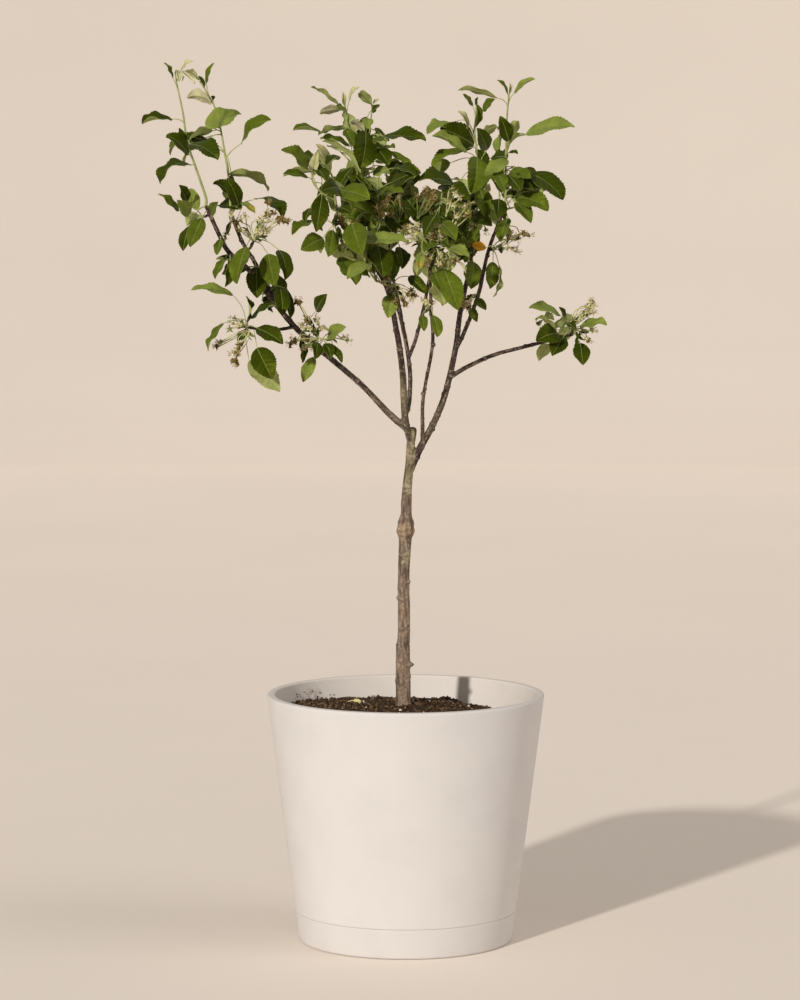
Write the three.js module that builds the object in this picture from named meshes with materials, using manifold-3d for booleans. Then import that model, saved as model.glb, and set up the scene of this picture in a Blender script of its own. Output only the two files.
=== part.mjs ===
// A dwarf apple tree, grown as a small standard, in a round tapered pot with an integrated saucer.
// Millimetres, +Z up, -Y is the front. The origin is the middle of the saucer's flat underside.
// The pot is two turned pieces, filled with soil. The grafted trunk stands on the soil, swells at its graft
// union and ends in a cut stub above the fork. The boughs taper away from the fork. Each one ends where it
// enters a clump of foliage, and the clumps that it passes on its way are cut round it.
import * as THREE from "three";
import { mergeVertices } from "three/addons/utils/BufferGeometryUtils.js";
import Module from "manifold-3d";

const wasm = await Module();
wasm.setup();

// ---- driving dimensions ----
const FIT = 0.3; // clearance between touching pieces
const CUT_GROWTH = 0.5; // how much larger a cutting piece is, so that a gap stays round it

const POT_HEIGHT = 313;
const POT_RADIUS_TOP = 175;
const POT_RADIUS_BOTTOM = 135;
const POT_WALL = 10;
const POT_FLOOR = 8;
const RIM_ROUND = 2.5;
const SAUCER_HEIGHT = 38;
const SAUCER_WALL = 6;
const SAUCER_FLOOR = 5;
const SAUCER_ROUND = 3;
const SPIGOT_WALL = 10; // the pot's lower end, which stands inside the saucer
const SHOULDER_RISE = 18; // height over which the pot's inside widens above the spigot
const POT_SEGMENTS = 44;

const TRUNK_FOOT = [-3, 8];
const TRUNK_FOOT_HEIGHT = 298;
const SOIL_TOP = TRUNK_FOOT_HEIGHT - FIT; // under the trunk
const SOIL_FALL = 11; // from the trunk down to the pot's wall
const SOIL_LEAN = 6; // the surface is this much higher at the left wall and lower at the right
const SOIL_RADIUS = 160;
const SOIL_FLAT = 0.1; // share of the way to the wall that is flat under the trunk
const SOIL_RINGS = [SOIL_FLAT, 0.3, 0.5, 0.7, 0.85, 1];

const LIMB_SIDES = 7;
const LIMB_STEPS = 3; // for each stretch of a route
const TRUNK_SIDES = 10;
const TRUNK_STEPS = 28;
const CLUMP_SIDES = 10;
const CLUMP_RINGS = 8;

// ---- materials ----
const plain = (color, roughness) => new THREE.MeshStandardMaterial({ color, roughness, metalness: 0 });
const potFinish = plain(0xdcd5ca, 0.8);
const soilFinish = plain(0x3a2a1e, 1.0);
const barkFinish = plain(0x6b5c50, 0.85);
const leafFinish = plain(0x55702f, 0.6);

// ---- solids ----
const model = new THREE.Group();

function solidOf(geometry) {
  const bare = geometry.clone();
  bare.deleteAttribute("normal");
  bare.deleteAttribute("uv");
  const merged = mergeVertices(bare, 1e-3);
  return new wasm.Manifold(
    new wasm.Mesh({
      numProp: 3,
      vertProperties: new Float32Array(merged.attributes.position.array),
      triVerts: new Uint32Array(merged.index.array),
    }),
  );
}

function geometryOf(solid) {
  const mesh = solid.getMesh();
  return new THREE.BufferGeometry()
    .setAttribute("position", new THREE.BufferAttribute(new Float32Array(mesh.vertProperties), 3))
    .setIndex(new THREE.BufferAttribute(new Uint32Array(mesh.triVerts), 1));
}

function addNode(name, geometry, material) {
  const mesh = new THREE.Mesh(geometry, material);
  mesh.name = name;
  model.add(mesh);
}

// The largest of the bodies that a cut leaves.
function largest(solid) {
  return solid.decompose().sort((a, b) => b.volume() - a.volume())[0];
}

// A profile of [radius, height] pairs turned about the Z axis. It starts and ends on the axis.
function turned(profile) {
  const points = profile.map(([r, z]) => new THREE.Vector2(r, z));
  return new THREE.LatheGeometry(points, POT_SEGMENTS).rotateX(Math.PI / 2);
}

// A closed form over a stack of rings of points, with a fan of faces over each end.
function skinned(rings) {
  const sides = rings[0].length;
  const points = rings.flat();
  const faces = [];
  for (let i = 0; i < rings.length - 1; i++) {
    for (let j = 0; j < sides; j++) {
      const a = i * sides + j;
      const b = i * sides + ((j + 1) % sides);
      faces.push(a, b, b + sides, a, b + sides, a + sides);
    }
  }
  const [firstMiddle, lastMiddle] = [points.length, points.length + 1];
  const lastRing = (rings.length - 1) * sides;
  for (let j = 0; j < sides; j++) {
    const next = (j + 1) % sides;
    faces.push(firstMiddle, next, j);
    faces.push(lastMiddle, lastRing + j, lastRing + next);
  }
  for (const ring of [rings[0], rings.at(-1)]) {
    const middle = new THREE.Vector3();
    for (const point of ring) middle.addScaledVector(point, 1 / sides);
    points.push(middle);
  }
  return new THREE.BufferGeometry().setFromPoints(points).setIndex(faces);
}

// A ring of points round a centre, in the plane of two unit directions.
function ringRound(centre, across, along, sides, radiusAt) {
  return Array.from({ length: sides }, (_, j) => {
    const angle = (2 * Math.PI * j) / sides;
    const radius = radiusAt(angle);
    return centre
      .clone()
      .addScaledVector(across, radius * Math.cos(angle))
      .addScaledVector(along, radius * Math.sin(angle));
  });
}

const curveThrough = (route) => {
  const points = route.map((p) => new THREE.Vector3(...p));
  return new THREE.CatmullRomCurve3(points, false, "catmullrom", 0.5);
};

// A limb: round, square to its route all the way, and a little longer at both ends when it is grown.
function limbForm(route, steps, sides, growth, radiusAt) {
  const curve = curveThrough(route);
  const { tangents, normals, binormals } = curve.computeFrenetFrames(steps, false);
  const rings = tangents.map((tangent, i) => {
    const share = i / steps;
    const centre = curve.getPointAt(share).addScaledVector(tangent, growth * (2 * share - 1));
    return ringRound(centre, normals[i], binormals[i], sides, () => growth + radiusAt(share));
  });
  return skinned(rings);
}

// The value at a share of the way through a list of evenly spaced values.
function between(values, share) {
  const place = share * (values.length - 1);
  const low = Math.min(Math.floor(place), values.length - 2);
  return THREE.MathUtils.lerp(values[low], values[low + 1], place - low);
}

// ---- pot, saucer and soil ----
const potRadiusAt = (z) => THREE.MathUtils.lerp(POT_RADIUS_BOTTOM, POT_RADIUS_TOP, z / POT_HEIGHT);

const spigotRadius = potRadiusAt(0) - SAUCER_WALL - FIT;
const spigotInside = spigotRadius - SPIGOT_WALL;
const potBase = SAUCER_FLOOR + FIT;
const potFloorTop = potBase + POT_FLOOR;
const shoulder = SAUCER_HEIGHT + FIT;
const shoulderTop = shoulder + SHOULDER_RISE;
addNode(
  "pot",
  turned([
    [0, potBase],
    [spigotRadius, potBase],
    [spigotRadius, shoulder],
    [potRadiusAt(shoulder), shoulder],
    [potRadiusAt(POT_HEIGHT - RIM_ROUND), POT_HEIGHT - RIM_ROUND],
    [POT_RADIUS_TOP - RIM_ROUND, POT_HEIGHT],
    [POT_RADIUS_TOP - POT_WALL + RIM_ROUND, POT_HEIGHT],
    [potRadiusAt(POT_HEIGHT - RIM_ROUND) - POT_WALL, POT_HEIGHT - RIM_ROUND],
    [potRadiusAt(shoulderTop) - POT_WALL, shoulderTop],
    [spigotInside, shoulder],
    [spigotInside, potFloorTop],
    [0, potFloorTop],
  ]),
  potFinish,
);

addNode(
  "pot_saucer",
  turned([
    [0, 0],
    [POT_RADIUS_BOTTOM - SAUCER_ROUND, 0],
    [potRadiusAt(SAUCER_ROUND), SAUCER_ROUND],
    [potRadiusAt(SAUCER_HEIGHT), SAUCER_HEIGHT],
    [potRadiusAt(0) - SAUCER_WALL, SAUCER_HEIGHT],
    [potRadiusAt(0) - SAUCER_WALL, SAUCER_FLOOR],
    [0, SAUCER_FLOOR],
  ]),
  potFinish,
);

// The soil's surface round the trunk: flat under it, falling to the wall, and leaning down to the right.
function soilPoint(share, angle) {
  const fall = Math.max(0, (share - SOIL_FLAT) / (1 - SOIL_FLAT));
  return new THREE.Vector3(
    THREE.MathUtils.lerp(TRUNK_FOOT[0], SOIL_RADIUS * Math.cos(angle), share),
    THREE.MathUtils.lerp(TRUNK_FOOT[1], SOIL_RADIUS * Math.sin(angle), share),
    SOIL_TOP - SOIL_FALL * fall ** 1.5 - SOIL_LEAN * fall * Math.cos(angle),
  );
}

function soilForm() {
  const sides = POT_SEGMENTS / 2;
  const angles = Array.from({ length: sides }, (_, j) => (2 * Math.PI * j) / sides);
  const level = (radius, z) =>
    angles.map((angle) => new THREE.Vector3(radius * Math.cos(angle), radius * Math.sin(angle), z));
  const surface = SOIL_RINGS.map((share) => angles.map((angle) => soilPoint(share, angle)));
  return skinned([
    level(spigotInside - 2 * FIT, potFloorTop + FIT),
    level(spigotInside - 2 * FIT, shoulder),
    level(potRadiusAt(shoulderTop) - POT_WALL - 2 * FIT, shoulderTop),
    ...surface.reverse(),
  ]);
}
addNode("soil", soilForm(), soilFinish);

// ---- trunk ----
const TRUNK_ROUTE = [
  [...TRUNK_FOOT, TRUNK_FOOT_HEIGHT], [-3, 8, 388], [-2, 8, 458], [0, 8, 525], [2, 7, 569], [6, 6, 603],
  [10, 6, 648],
];
// [height, radius]: the root flare, the taper, the swollen graft union and the cut stub.
const TRUNK_RADII = [
  [TRUNK_FOOT_HEIGHT, 10.8], [306, 9.4], [340, 8.5], [458, 7.4], [505, 7.9], [522, 11.2], [530, 9.8],
  [542, 7.3], [569, 6.2], [620, 6.0], [636, 5.2], [648, 4.4],
];

function trunkRadius(height) {
  const next = Math.max(1, TRUNK_RADII.findIndex(([z]) => z >= height));
  const [z0, r0] = TRUNK_RADII[next - 1];
  const [z1, r1] = TRUNK_RADII[next];
  return THREE.MathUtils.lerp(r0, r1, THREE.MathUtils.clamp((height - z0) / (z1 - z0), 0, 1));
}

const trunkForm = (growth) =>
  limbForm(TRUNK_ROUTE, TRUNK_STEPS, TRUNK_SIDES, growth, (share) =>
    trunkRadius(THREE.MathUtils.lerp(TRUNK_FOOT_HEIGHT, TRUNK_ROUTE.at(-1)[2], share)),
  );

// ---- boughs: a route from inside the limb that carries it, and its radius at even steps along it ----
const BOUGHS = {
  bough_centre_front: {
    route: [[6, 5, 628], [-3, -1, 662], [-5, -10, 718], [-12, -26, 774], [-28, -58, 836], [-80, -108, 908]],
    radii: [5.6, 4.0, 3.2, 2.6],
  },
  bough_centre_back: {
    route: [[-3, 2, 658], [4, 16, 678], [5, 28, 720], [-4, 52, 774], [-20, 80, 824], [-57, 122, 905]],
    radii: [3.0, 2.8, 2.6, 2.4],
  },
  bough_centre_inner: {
    route: [[4, 33, 736], [13, 34, 760], [23, 28, 800], [32, 14, 850]],
    radii: [2.6, 2.2],
  },
  bough_left: {
    route: [
      [0, 2, 648], [-21, -6, 667], [-58, -14, 706], [-115, -26, 755], [-140, -32, 779], [-161, -38, 805],
      [-194, -50, 848], [-219, -58, 871], [-232, -63, 896], [-246, -69, 928],
    ],
    radii: [5.4, 4.4, 4.3, 4.0, 3.3, 2.6],
  },
  bough_left_fork: {
    route: [[-156, -38, 800], [-174, -32, 829], [-188, -24, 857], [-203, -16, 881], [-218, -4, 916]],
    radii: [3.2, 2.4],
  },
  bough_left_spur: {
    route: [[-138, -31, 777], [-162, -50, 774], [-182, -66, 776], [-196, -78, 779]],
    radii: [2.4, 1.9],
  },
  bough_centre_core: {
    route: [[-3, 48, 766], [-8, 38, 800], [-16, 20, 834], [-24, 4, 866]],
    radii: [2.4, 2.0],
  },
  bough_right: {
    route: [
      [6, 6, 585], [17, 6, 620], [33, 11, 648], [49, 21, 688], [63, 41, 747], [69, 64, 790], [84, 104, 856],
    ],
    radii: [4.8, 4.3, 4.0, 3.4, 2.8],
  },
  bough_right_fork: {
    route: [[62, 40, 743], [73, 41, 765], [91, 28, 814], [103, 8, 869], [122, -9, 922]],
    radii: [2.9, 2.3],
  },
  bough_right_long: {
    route: [[58, 28, 712], [79, 36, 724], [112, 44, 738], [148, 52, 747], [188, 60, 757], [214, 67, 763]],
    radii: [3.0, 2.6, 2.2],
  },
  bough_front: {
    route: [[21, 7, 622], [21, 1, 650], [22, -16, 690], [33, -45, 755], [31, -70, 800], [29, -104, 850]],
    radii: [2.8, 2.3, 2.3, 2.2],
  },
};
const boughForm = ({ route, radii }, growth) =>
  limbForm(route, LIMB_STEPS * (route.length - 1), LIMB_SIDES, growth, (share) => between(radii, share));

// ---- foliage: clumps of leaves along a spine, with their reach from it at even steps ----
// A bough named under through runs on through the clump, which is cut round it.
const FOLIAGE = {
  foliage_left_leader: {
    spine: [[-244, -70, 926], [-270, -78, 1000], [-282, -88, 1104]],
    reach: [14, 36, 46, 44, 22, 9],
    seed: 1,
  },
  foliage_left_second: {
    spine: [[-216, -4, 914], [-220, 12, 990], [-250, 28, 1096]],
    reach: [16, 40, 52, 46, 26, 9],
    seed: 2,
  },
  foliage_left_outer: {
    spine: [[-244, -86, 862], [-268, -80, 934]],
    reach: [12, 30, 34, 14],
    seed: 3,
    through: ["bough_left"],
  },
  foliage_left_bend: {
    spine: [[-158, -34, 786], [-186, -36, 850], [-200, -22, 908]],
    reach: [16, 42, 52, 42, 20],
    seed: 4,
    through: ["bough_left", "bough_left_fork"],
  },
  foliage_left_hanging: {
    spine: [[-178, -84, 690], [-202, -84, 760], [-206, -84, 822]],
    reach: [14, 42, 52, 36, 14],
    seed: 5,
  },
  foliage_left_spur: {
    spine: [[-122, -34, 708], [-106, -26, 760], [-112, -18, 816]],
    reach: [12, 32, 34, 12],
    seed: 6,
    through: ["bough_left"],
  },
  foliage_centre_left: {
    spine: [[-78, -106, 896], [-106, -116, 960], [-124, -118, 1018]],
    reach: [16, 44, 46, 22],
    seed: 7,
  },
  foliage_centre_front: {
    spine: [[-36, -84, 802], [-60, -92, 860], [-24, -86, 920]],
    reach: [20, 46, 56, 46, 20],
    seed: 8,
    through: ["bough_centre_front"],
  },
  foliage_centre_low: {
    spine: [[-22, -52, 776], [-12, -44, 830]],
    reach: [8, 24, 22, 8],
    seed: 9,
    through: ["bough_centre_front"],
  },
  foliage_centre_core: {
    spine: [[-24, 0, 862], [-34, 0, 930], [-30, 2, 1008]],
    reach: [16, 44, 50, 42, 18],
    seed: 10,
  },
  foliage_centre_back: {
    spine: [[-56, 116, 896], [-52, 116, 970], [-70, 112, 1080]],
    reach: [18, 54, 68, 56, 26, 9],
    seed: 11,
  },
  foliage_front: {
    spine: [[32, -98, 792], [32, -112, 862], [26, -108, 956]],
    reach: [12, 42, 54, 48, 18],
    seed: 12,
  },
  foliage_front_low: {
    spine: [[32, -56, 748], [34, -54, 784]],
    reach: [8, 17, 16, 8],
    seed: 13,
    through: ["bough_front"],
  },
  foliage_inner: {
    spine: [[32, 14, 838], [40, 12, 900], [44, 10, 980]],
    reach: [16, 42, 46, 38, 16],
    seed: 14,
  },
  foliage_right_back: {
    spine: [[70, 108, 846], [78, 126, 940], [84, 130, 1080]],
    reach: [16, 50, 54, 46, 26, 9],
    seed: 15,
  },
  foliage_right_leader: {
    spine: [[118, -6, 908], [132, -18, 990], [130, -28, 1088]],
    reach: [20, 50, 66, 56, 26, 9],
    seed: 16,
  },
  foliage_right_low: {
    spine: [[100, 18, 776], [112, 12, 842], [108, 8, 892]],
    reach: [9, 26, 34, 16],
    seed: 17,
    through: ["bough_right_fork"],
  },
  foliage_far_right: {
    spine: [[156, 56, 754], [204, 66, 768], [248, 74, 782]],
    reach: [12, 36, 40, 32, 14],
    seed: 18,
  },
};

// A clump's rings are all square to the line from its foot to its tip. Its surface bulges where sprays of
// leaves push out: a few waves with phases from its seed.
function clumpForm({ spine, reach, seed }, growth) {
  const curve = curveThrough(spine);
  const line = curve.getPoint(1).sub(curve.getPoint(0)).normalize();
  const across = new THREE.Vector3(0, 1, 0).cross(line).normalize();
  const along = line.clone().cross(across);
  const rings = Array.from({ length: CLUMP_RINGS + 1 }, (_, i) => {
    const share = i / CLUMP_RINGS;
    const centre = curve.getPoint(share).addScaledVector(line, growth * (2 * share - 1));
    return ringRound(centre, across, along, CLUMP_SIDES, (angle) => {
      const broad = Math.sin(3 * angle + 2.1 * seed + 5 * share);
      const fine = Math.sin(5 * angle - 3.7 * seed + 11 * share);
      return growth + between(reach, share) * (1 + 0.1 * broad + 0.07 * fine);
    });
  });
  return skinned(rings);
}

// ---- assembly: each limb is cut by the limbs before it, and ends at the clump that it grows into ----
addNode("trunk", trunkForm(0), barkFinish);

const clumps = Object.entries(FOLIAGE).map(([name, clump]) => ({
  name,
  through: clump.through ?? [],
  solid: solidOf(clumpForm(clump, 0)),
  cutter: solidOf(clumpForm(clump, CUT_GROWTH)),
}));

const limbCutters = { trunk: solidOf(trunkForm(CUT_GROWTH)) };
for (const [name, bough] of Object.entries(BOUGHS)) {
  let solid = solidOf(boughForm(bough, 0));
  for (const cutter of Object.values(limbCutters)) solid = solid.subtract(cutter);
  for (const clump of clumps) {
    if (!clump.through.includes(name)) solid = solid.subtract(clump.cutter);
  }
  addNode(name, geometryOf(largest(solid)), barkFinish);
  limbCutters[name] = solidOf(boughForm(bough, CUT_GROWTH));
}

clumps.forEach(({ name, through, solid }, place) => {
  let rest = solid;
  for (const { cutter } of clumps.slice(0, place)) rest = rest.subtract(cutter);
  for (const bough of through) rest = rest.subtract(limbCutters[bough]);
  addNode(name, geometryOf(largest(rest)), leafFinish);
});

export default model;
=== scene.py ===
"""Looks of the potted dwarf apple tree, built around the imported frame.

Everything is in metres: +Z up, -Y towards the viewer, +X to the right, and the origin is the centre of the
planter's underside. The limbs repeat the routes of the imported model. Leaves, shoots and withered blossom
grow on them, sprig by sprig.
"""
import math
import random

import bpy
import numpy as np
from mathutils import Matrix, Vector, noise
from mathutils.bvhtree import BVHTree
from mathutils.kdtree import KDTree


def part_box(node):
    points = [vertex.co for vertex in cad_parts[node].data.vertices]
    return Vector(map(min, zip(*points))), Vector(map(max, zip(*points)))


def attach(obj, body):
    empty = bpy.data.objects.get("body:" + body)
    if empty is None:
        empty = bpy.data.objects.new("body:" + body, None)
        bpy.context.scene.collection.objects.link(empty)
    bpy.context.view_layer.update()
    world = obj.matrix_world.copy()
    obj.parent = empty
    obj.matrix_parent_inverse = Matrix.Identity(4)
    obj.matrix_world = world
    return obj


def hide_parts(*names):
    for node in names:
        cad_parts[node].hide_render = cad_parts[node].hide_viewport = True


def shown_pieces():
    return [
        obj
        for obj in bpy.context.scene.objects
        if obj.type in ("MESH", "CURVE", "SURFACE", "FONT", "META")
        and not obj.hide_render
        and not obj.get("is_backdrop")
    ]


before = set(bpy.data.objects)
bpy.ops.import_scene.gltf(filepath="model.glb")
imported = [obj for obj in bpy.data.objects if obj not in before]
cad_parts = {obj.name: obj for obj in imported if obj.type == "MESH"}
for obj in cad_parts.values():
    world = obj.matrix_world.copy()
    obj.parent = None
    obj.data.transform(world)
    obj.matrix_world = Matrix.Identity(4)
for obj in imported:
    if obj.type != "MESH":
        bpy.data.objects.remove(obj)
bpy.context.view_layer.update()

UP = np.array((0.0, 0.0, 1.0))
TO_VIEWER = np.array((0.0, -1.0, 0.0))
ASLANT = np.array((0.3, 0.2, 0.9))


def add_object(name, data):
    """A new object of the scene with this mesh, lamp or camera."""
    thing = bpy.data.objects.new(name, data)
    bpy.context.scene.collection.objects.link(thing)
    return thing


# --- Camera: the viewing angle of the photograph ---
CAMERA_PLACE = (-0.0073, -4.853, 1.014)
CAMERA_PITCH = math.radians(5.37)
CAMERA_FOCUS = 3880.0  # in pixels of the 800 by 1000 frame
PICTURE_WIDTH, PICTURE_HEIGHT = 800, 1000
SENSOR = 36.0


def add_camera():
    data = bpy.data.cameras.new("camera")
    data.sensor_width = SENSOR
    data.lens = CAMERA_FOCUS / PICTURE_HEIGHT * SENSOR
    camera = add_object("camera", data)
    camera.location = CAMERA_PLACE
    camera.rotation_euler = (math.pi / 2 - CAMERA_PITCH, 0, 0)
    bpy.context.scene.camera = camera


def seen(column, row, depth):
    """The point that shows at that pixel of the 800 by 1000 picture and lies at that Y."""
    across = (column - PICTURE_WIDTH / 2) / CAMERA_FOCUS
    rise = (PICTURE_HEIGHT / 2 - row) / CAMERA_FOCUS
    forward = math.cos(CAMERA_PITCH) + rise * math.sin(CAMERA_PITCH)
    upward = rise * math.cos(CAMERA_PITCH) - math.sin(CAMERA_PITCH)
    reach = (depth - CAMERA_PLACE[1]) / forward
    return np.array((CAMERA_PLACE[0] + across * reach, depth, CAMERA_PLACE[2] + upward * reach))


def shown_at(points):
    """The pixels of the 800 by 1000 picture at which these points show."""
    points = np.atleast_2d(points) - np.array(CAMERA_PLACE)
    deep = points[:, 1] * math.cos(CAMERA_PITCH) - points[:, 2] * math.sin(CAMERA_PITCH)
    high = points[:, 1] * math.sin(CAMERA_PITCH) + points[:, 2] * math.cos(CAMERA_PITCH)
    columns = PICTURE_WIDTH / 2 + CAMERA_FOCUS * points[:, 0] / deep
    rows = PICTURE_HEIGHT / 2 - CAMERA_FOCUS * high / deep
    return np.stack((columns, rows), 1)


# --- Shapes ---
def unit(vector):
    return vector / max(np.linalg.norm(vector), 1e-12)


def square_to(vector, axis):
    """The part of vector that is square to axis, at length 1."""
    axis = unit(axis)
    return unit(vector - axis * (vector @ axis))


class Pile:
    """Points, faces and material numbers of one joined piece."""

    def __init__(self):
        self.points = []
        self.faces = []
        self.materials = []
        self.count = 0

    def add(self, points, faces, material=0):
        """Adds a shape with one material number for all its faces, or one for each."""
        self.points.append(np.asarray(points, float).reshape(-1, 3))
        self.faces.extend([tuple(i + self.count for i in face) for face in faces])
        several = hasattr(material, "__len__")
        self.materials.extend(material if several else [material] * len(faces))
        self.count += len(self.points[-1])

    def mesh(self, name):
        mesh = bpy.data.meshes.new(name)
        mesh.from_pydata(np.concatenate(self.points).tolist(), [], self.faces)
        mesh.polygons.foreach_set("material_index", self.materials)
        return mesh


def add_piece(name, shape, materials, replaced=(), sharp_above=math.radians(45)):
    """Makes the piece from a pile, or from a ready mesh."""
    mesh = shape.mesh(name) if isinstance(shape, Pile) else shape
    for material in materials:
        mesh.materials.append(material)
    mesh.shade_smooth()
    mesh.set_sharp_from_angle(angle=sharp_above)
    mesh.update()
    piece = add_object(name, mesh)
    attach(piece, "root")
    if replaced:
        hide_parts(*replaced)


def smooth_route(points, spacing):
    """A smooth line through the points, as samples about that far apart."""
    points = np.asarray(points, float)
    first = 2 * points[0] - points[1]
    last = 2 * points[-1] - points[-2]
    knots = np.vstack((first, points, last))
    samples = []
    for a, b, c, d in zip(knots, knots[1:], knots[2:], knots[3:]):
        bend = 2 * a - 5 * b + 4 * c - d
        twist = -a + 3 * b - 3 * c + d
        for t in np.arange(0, 1, 0.05):
            samples.append(0.5 * (2 * b + (c - a) * t + bend * t * t + twist * t ** 3))
    samples = np.array(samples + [points[-1]])
    lengths = np.append(0, np.cumsum(np.linalg.norm(np.diff(samples, axis=0), axis=1)))
    count = max(3, round(lengths[-1] / spacing) + 1)
    even = np.linspace(0, lengths[-1], count)
    return np.stack([np.interp(even, lengths, samples[:, i]) for i in range(3)], 1)


def along(values, count):
    """Values given at even steps, spread over that many samples."""
    return np.interp(np.linspace(0, 1, count), np.linspace(0, 1, len(values)), values)


def tube(route, radii, sides):
    """A round tube along the samples of a route, closed at both ends."""
    radii = along(radii, len(route))
    tangents = np.gradient(route, axis=0)
    is_level = abs(unit(tangents[0])[2]) < 0.9
    normal = square_to(ASLANT if is_level else TO_VIEWER, tangents[0])
    angles = np.linspace(0, 2 * math.pi, sides, endpoint=False)
    rings = []
    for place, tangent, radius in zip(route, tangents, radii):
        normal = square_to(normal, tangent)
        across = np.cross(unit(tangent), normal)
        circle = np.outer(np.cos(angles), normal) + np.outer(np.sin(angles), across)
        rings.append(place + radius * circle)
    points = np.vstack(rings + [route[:1], route[-1:]])
    faces = []
    for ring in range(len(route) - 1):
        for side in range(sides):
            a = ring * sides + side
            b = ring * sides + (side + 1) % sides
            faces.append((a, b, b + sides, a + sides))
    foot, tip = len(points) - 2, len(points) - 1
    last = (len(route) - 1) * sides
    for side in range(sides):
        after = (side + 1) % sides
        faces.append((foot, after, side))
        faces.append((tip, last + side, last + after))
    return points, faces


def lathe(profile, segments):
    """The profile turned about Z. It is closed where the profile starts and ends on the axis."""
    points, rows = [], []
    for radius, height in profile:
        if radius < 1e-9:
            rows.append([len(points)])
            points.append((0, 0, height))
        else:
            rows.append(list(range(len(points), len(points) + segments)))
            for i in range(segments):
                angle = 2 * math.pi * i / segments
                points.append((radius * math.cos(angle), radius * math.sin(angle), height))
    faces = []
    for low, high in zip(rows, rows[1:]):
        for i in range(segments):
            j = (i + 1) % segments
            if len(low) == 1:
                faces.append((low[0], high[j], high[i]))
            elif len(high) == 1:
                faces.append((low[i], low[j], high[0]))
            else:
                faces.append((low[i], low[j], high[j], high[i]))
    return points, faces


def arc(centre, radius, start, end, steps):
    """Profile points round a centre, from one angle to another, in degrees."""
    angles = [math.radians(start + (end - start) * i / steps) for i in range(steps + 1)]
    return [(centre[0] + radius * math.cos(a), centre[1] + radius * math.sin(a)) for a in angles]


# --- Materials ---
BLACK, WHITE = (0, 0, 0), (1, 1, 1)
SMUDGE_REACH, SMUDGE_HEART = 0.020, 0.003
SMUDGE_COLOUR = (0.16, 0.11, 0.07, 1)
PLANT_SHEEN = (0.95, 1.0, 0.10, 1)
PLANT_DRIFT = 0.21


class Finish:
    """A principled material with a short way to add nodes."""

    def __init__(self, name, roughness, specular):
        self.material = bpy.data.materials.new(name)
        self.material.use_nodes = True
        self.tree = self.material.node_tree
        self.shader = self.tree.nodes["Principled BSDF"]
        self.shader.inputs["Roughness"].default_value = roughness
        self.shader.inputs["Specular IOR Level"].default_value = specular
        self.place = self.tree.nodes.new("ShaderNodeTexCoord").outputs["Object"]

    def node(self, kind, inputs, **settings):
        """A new node with these settings; each input is a socket to link or a plain value."""
        node = self.tree.nodes.new(kind)
        for name, value in settings.items():
            setattr(node, name, value)
        for socket, source in inputs.items():
            if isinstance(source, bpy.types.NodeSocket):
                self.tree.links.new(source, node.inputs[socket])
            else:
                node.inputs[socket].default_value = source
        return node

    def noise(self, scale, detail):
        inputs = {"Vector": self.place, "Scale": scale, "Detail": detail, "Roughness": 0.55}
        return self.node("ShaderNodeTexNoise", inputs).outputs["Fac"]

    def ramp(self, factor, stops):
        node = self.node("ShaderNodeValToRGB", {"Fac": factor})
        elements = node.color_ramp.elements
        while len(elements) < len(stops):
            elements.new(0.5)
        for element, (place, colour) in zip(elements, stops):
            element.position = place
            element.color = (*colour, 1)
        return node.outputs["Color"]

    def mix(self, factor, first, second, blend="MIX"):
        """Two colours mixed. The node takes the colours at its inputs 6 and 7 and gives one at output 2."""
        inputs = {0: factor, 6: first, 7: second}
        return self.node("ShaderNodeMix", inputs, data_type="RGBA", blend_type=blend).outputs[2]

    def colour(self, source):
        self.tree.links.new(source, self.shader.inputs["Base Color"])

    def bump(self, height, strength, distance):
        inputs = {"Height": height, "Strength": strength, "Distance": distance}
        node = self.node("ShaderNodeBump", inputs)
        self.tree.links.new(node.outputs[0], self.shader.inputs["Normal"])


def tinted(colour, factor):
    return tuple(min(1.0, c * factor) for c in colour)


def smudged(finish, paint, centre):
    """The paint with a patchy smudge of dirt round a place."""
    gap = finish.node("ShaderNodeVectorMath", {0: finish.place, 1: centre}, operation="DISTANCE")
    fade = {"Value": gap.outputs["Value"], "From Min": SMUDGE_REACH, "From Max": SMUDGE_HEART}
    near = finish.node("ShaderNodeMapRange", fade).outputs["Result"]
    patchy = finish.ramp(finish.noise(scale=120, detail=6), [(0.35, BLACK), (0.7, WHITE)])
    amount = finish.node("ShaderNodeMath", {0: near, 1: patchy}, operation="MULTIPLY")
    return finish.mix(amount.outputs[0], paint, SMUDGE_COLOUR)


def pot_material(name, base, dirt_at=None):
    """Matte warm off-white with soft mottling and fine darker specks, and a smudge of dirt round a place."""
    finish = Finish(name, roughness=0.62, specular=0.3)
    clouds = [(0.3, tinted(base, 0.965)), (0.5, base), (0.72, tinted(base, 1.025))]
    specks = [(0.28, (0.8, 0.78, 0.75)), (0.36, WHITE), (1.0, WHITE)]
    mottled = finish.ramp(finish.noise(scale=16, detail=6), clouds)
    speckled = finish.ramp(finish.noise(scale=620, detail=2), specks)
    paint = finish.mix(0.35, mottled, speckled, "MULTIPLY")
    if dirt_at:
        paint = smudged(finish, paint, dirt_at)
    finish.colour(paint)
    finish.bump(finish.noise(scale=240, detail=5), strength=0.25, distance=0.0006)
    return finish.material


def bark_material():
    """The colour is worked out point by point in the mesh, and the nodes add the finest grain."""
    finish = Finish("bark", roughness=0.72, specular=0.3)
    tint = finish.node("ShaderNodeAttribute", {}, attribute_name="tint").outputs["Color"]
    cracks = [(0.34, (0.42, 0.40, 0.38)), (0.47, (0.9, 0.9, 0.9)), (0.62, WHITE)]
    grain = finish.ramp(finish.noise(scale=900, detail=4), cracks)
    finish.colour(finish.mix(0.8, tint, grain, "MULTIPLY"))
    finish.bump(finish.noise(scale=700, detail=5), strength=0.5, distance=0.0006)
    return finish.material


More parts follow.
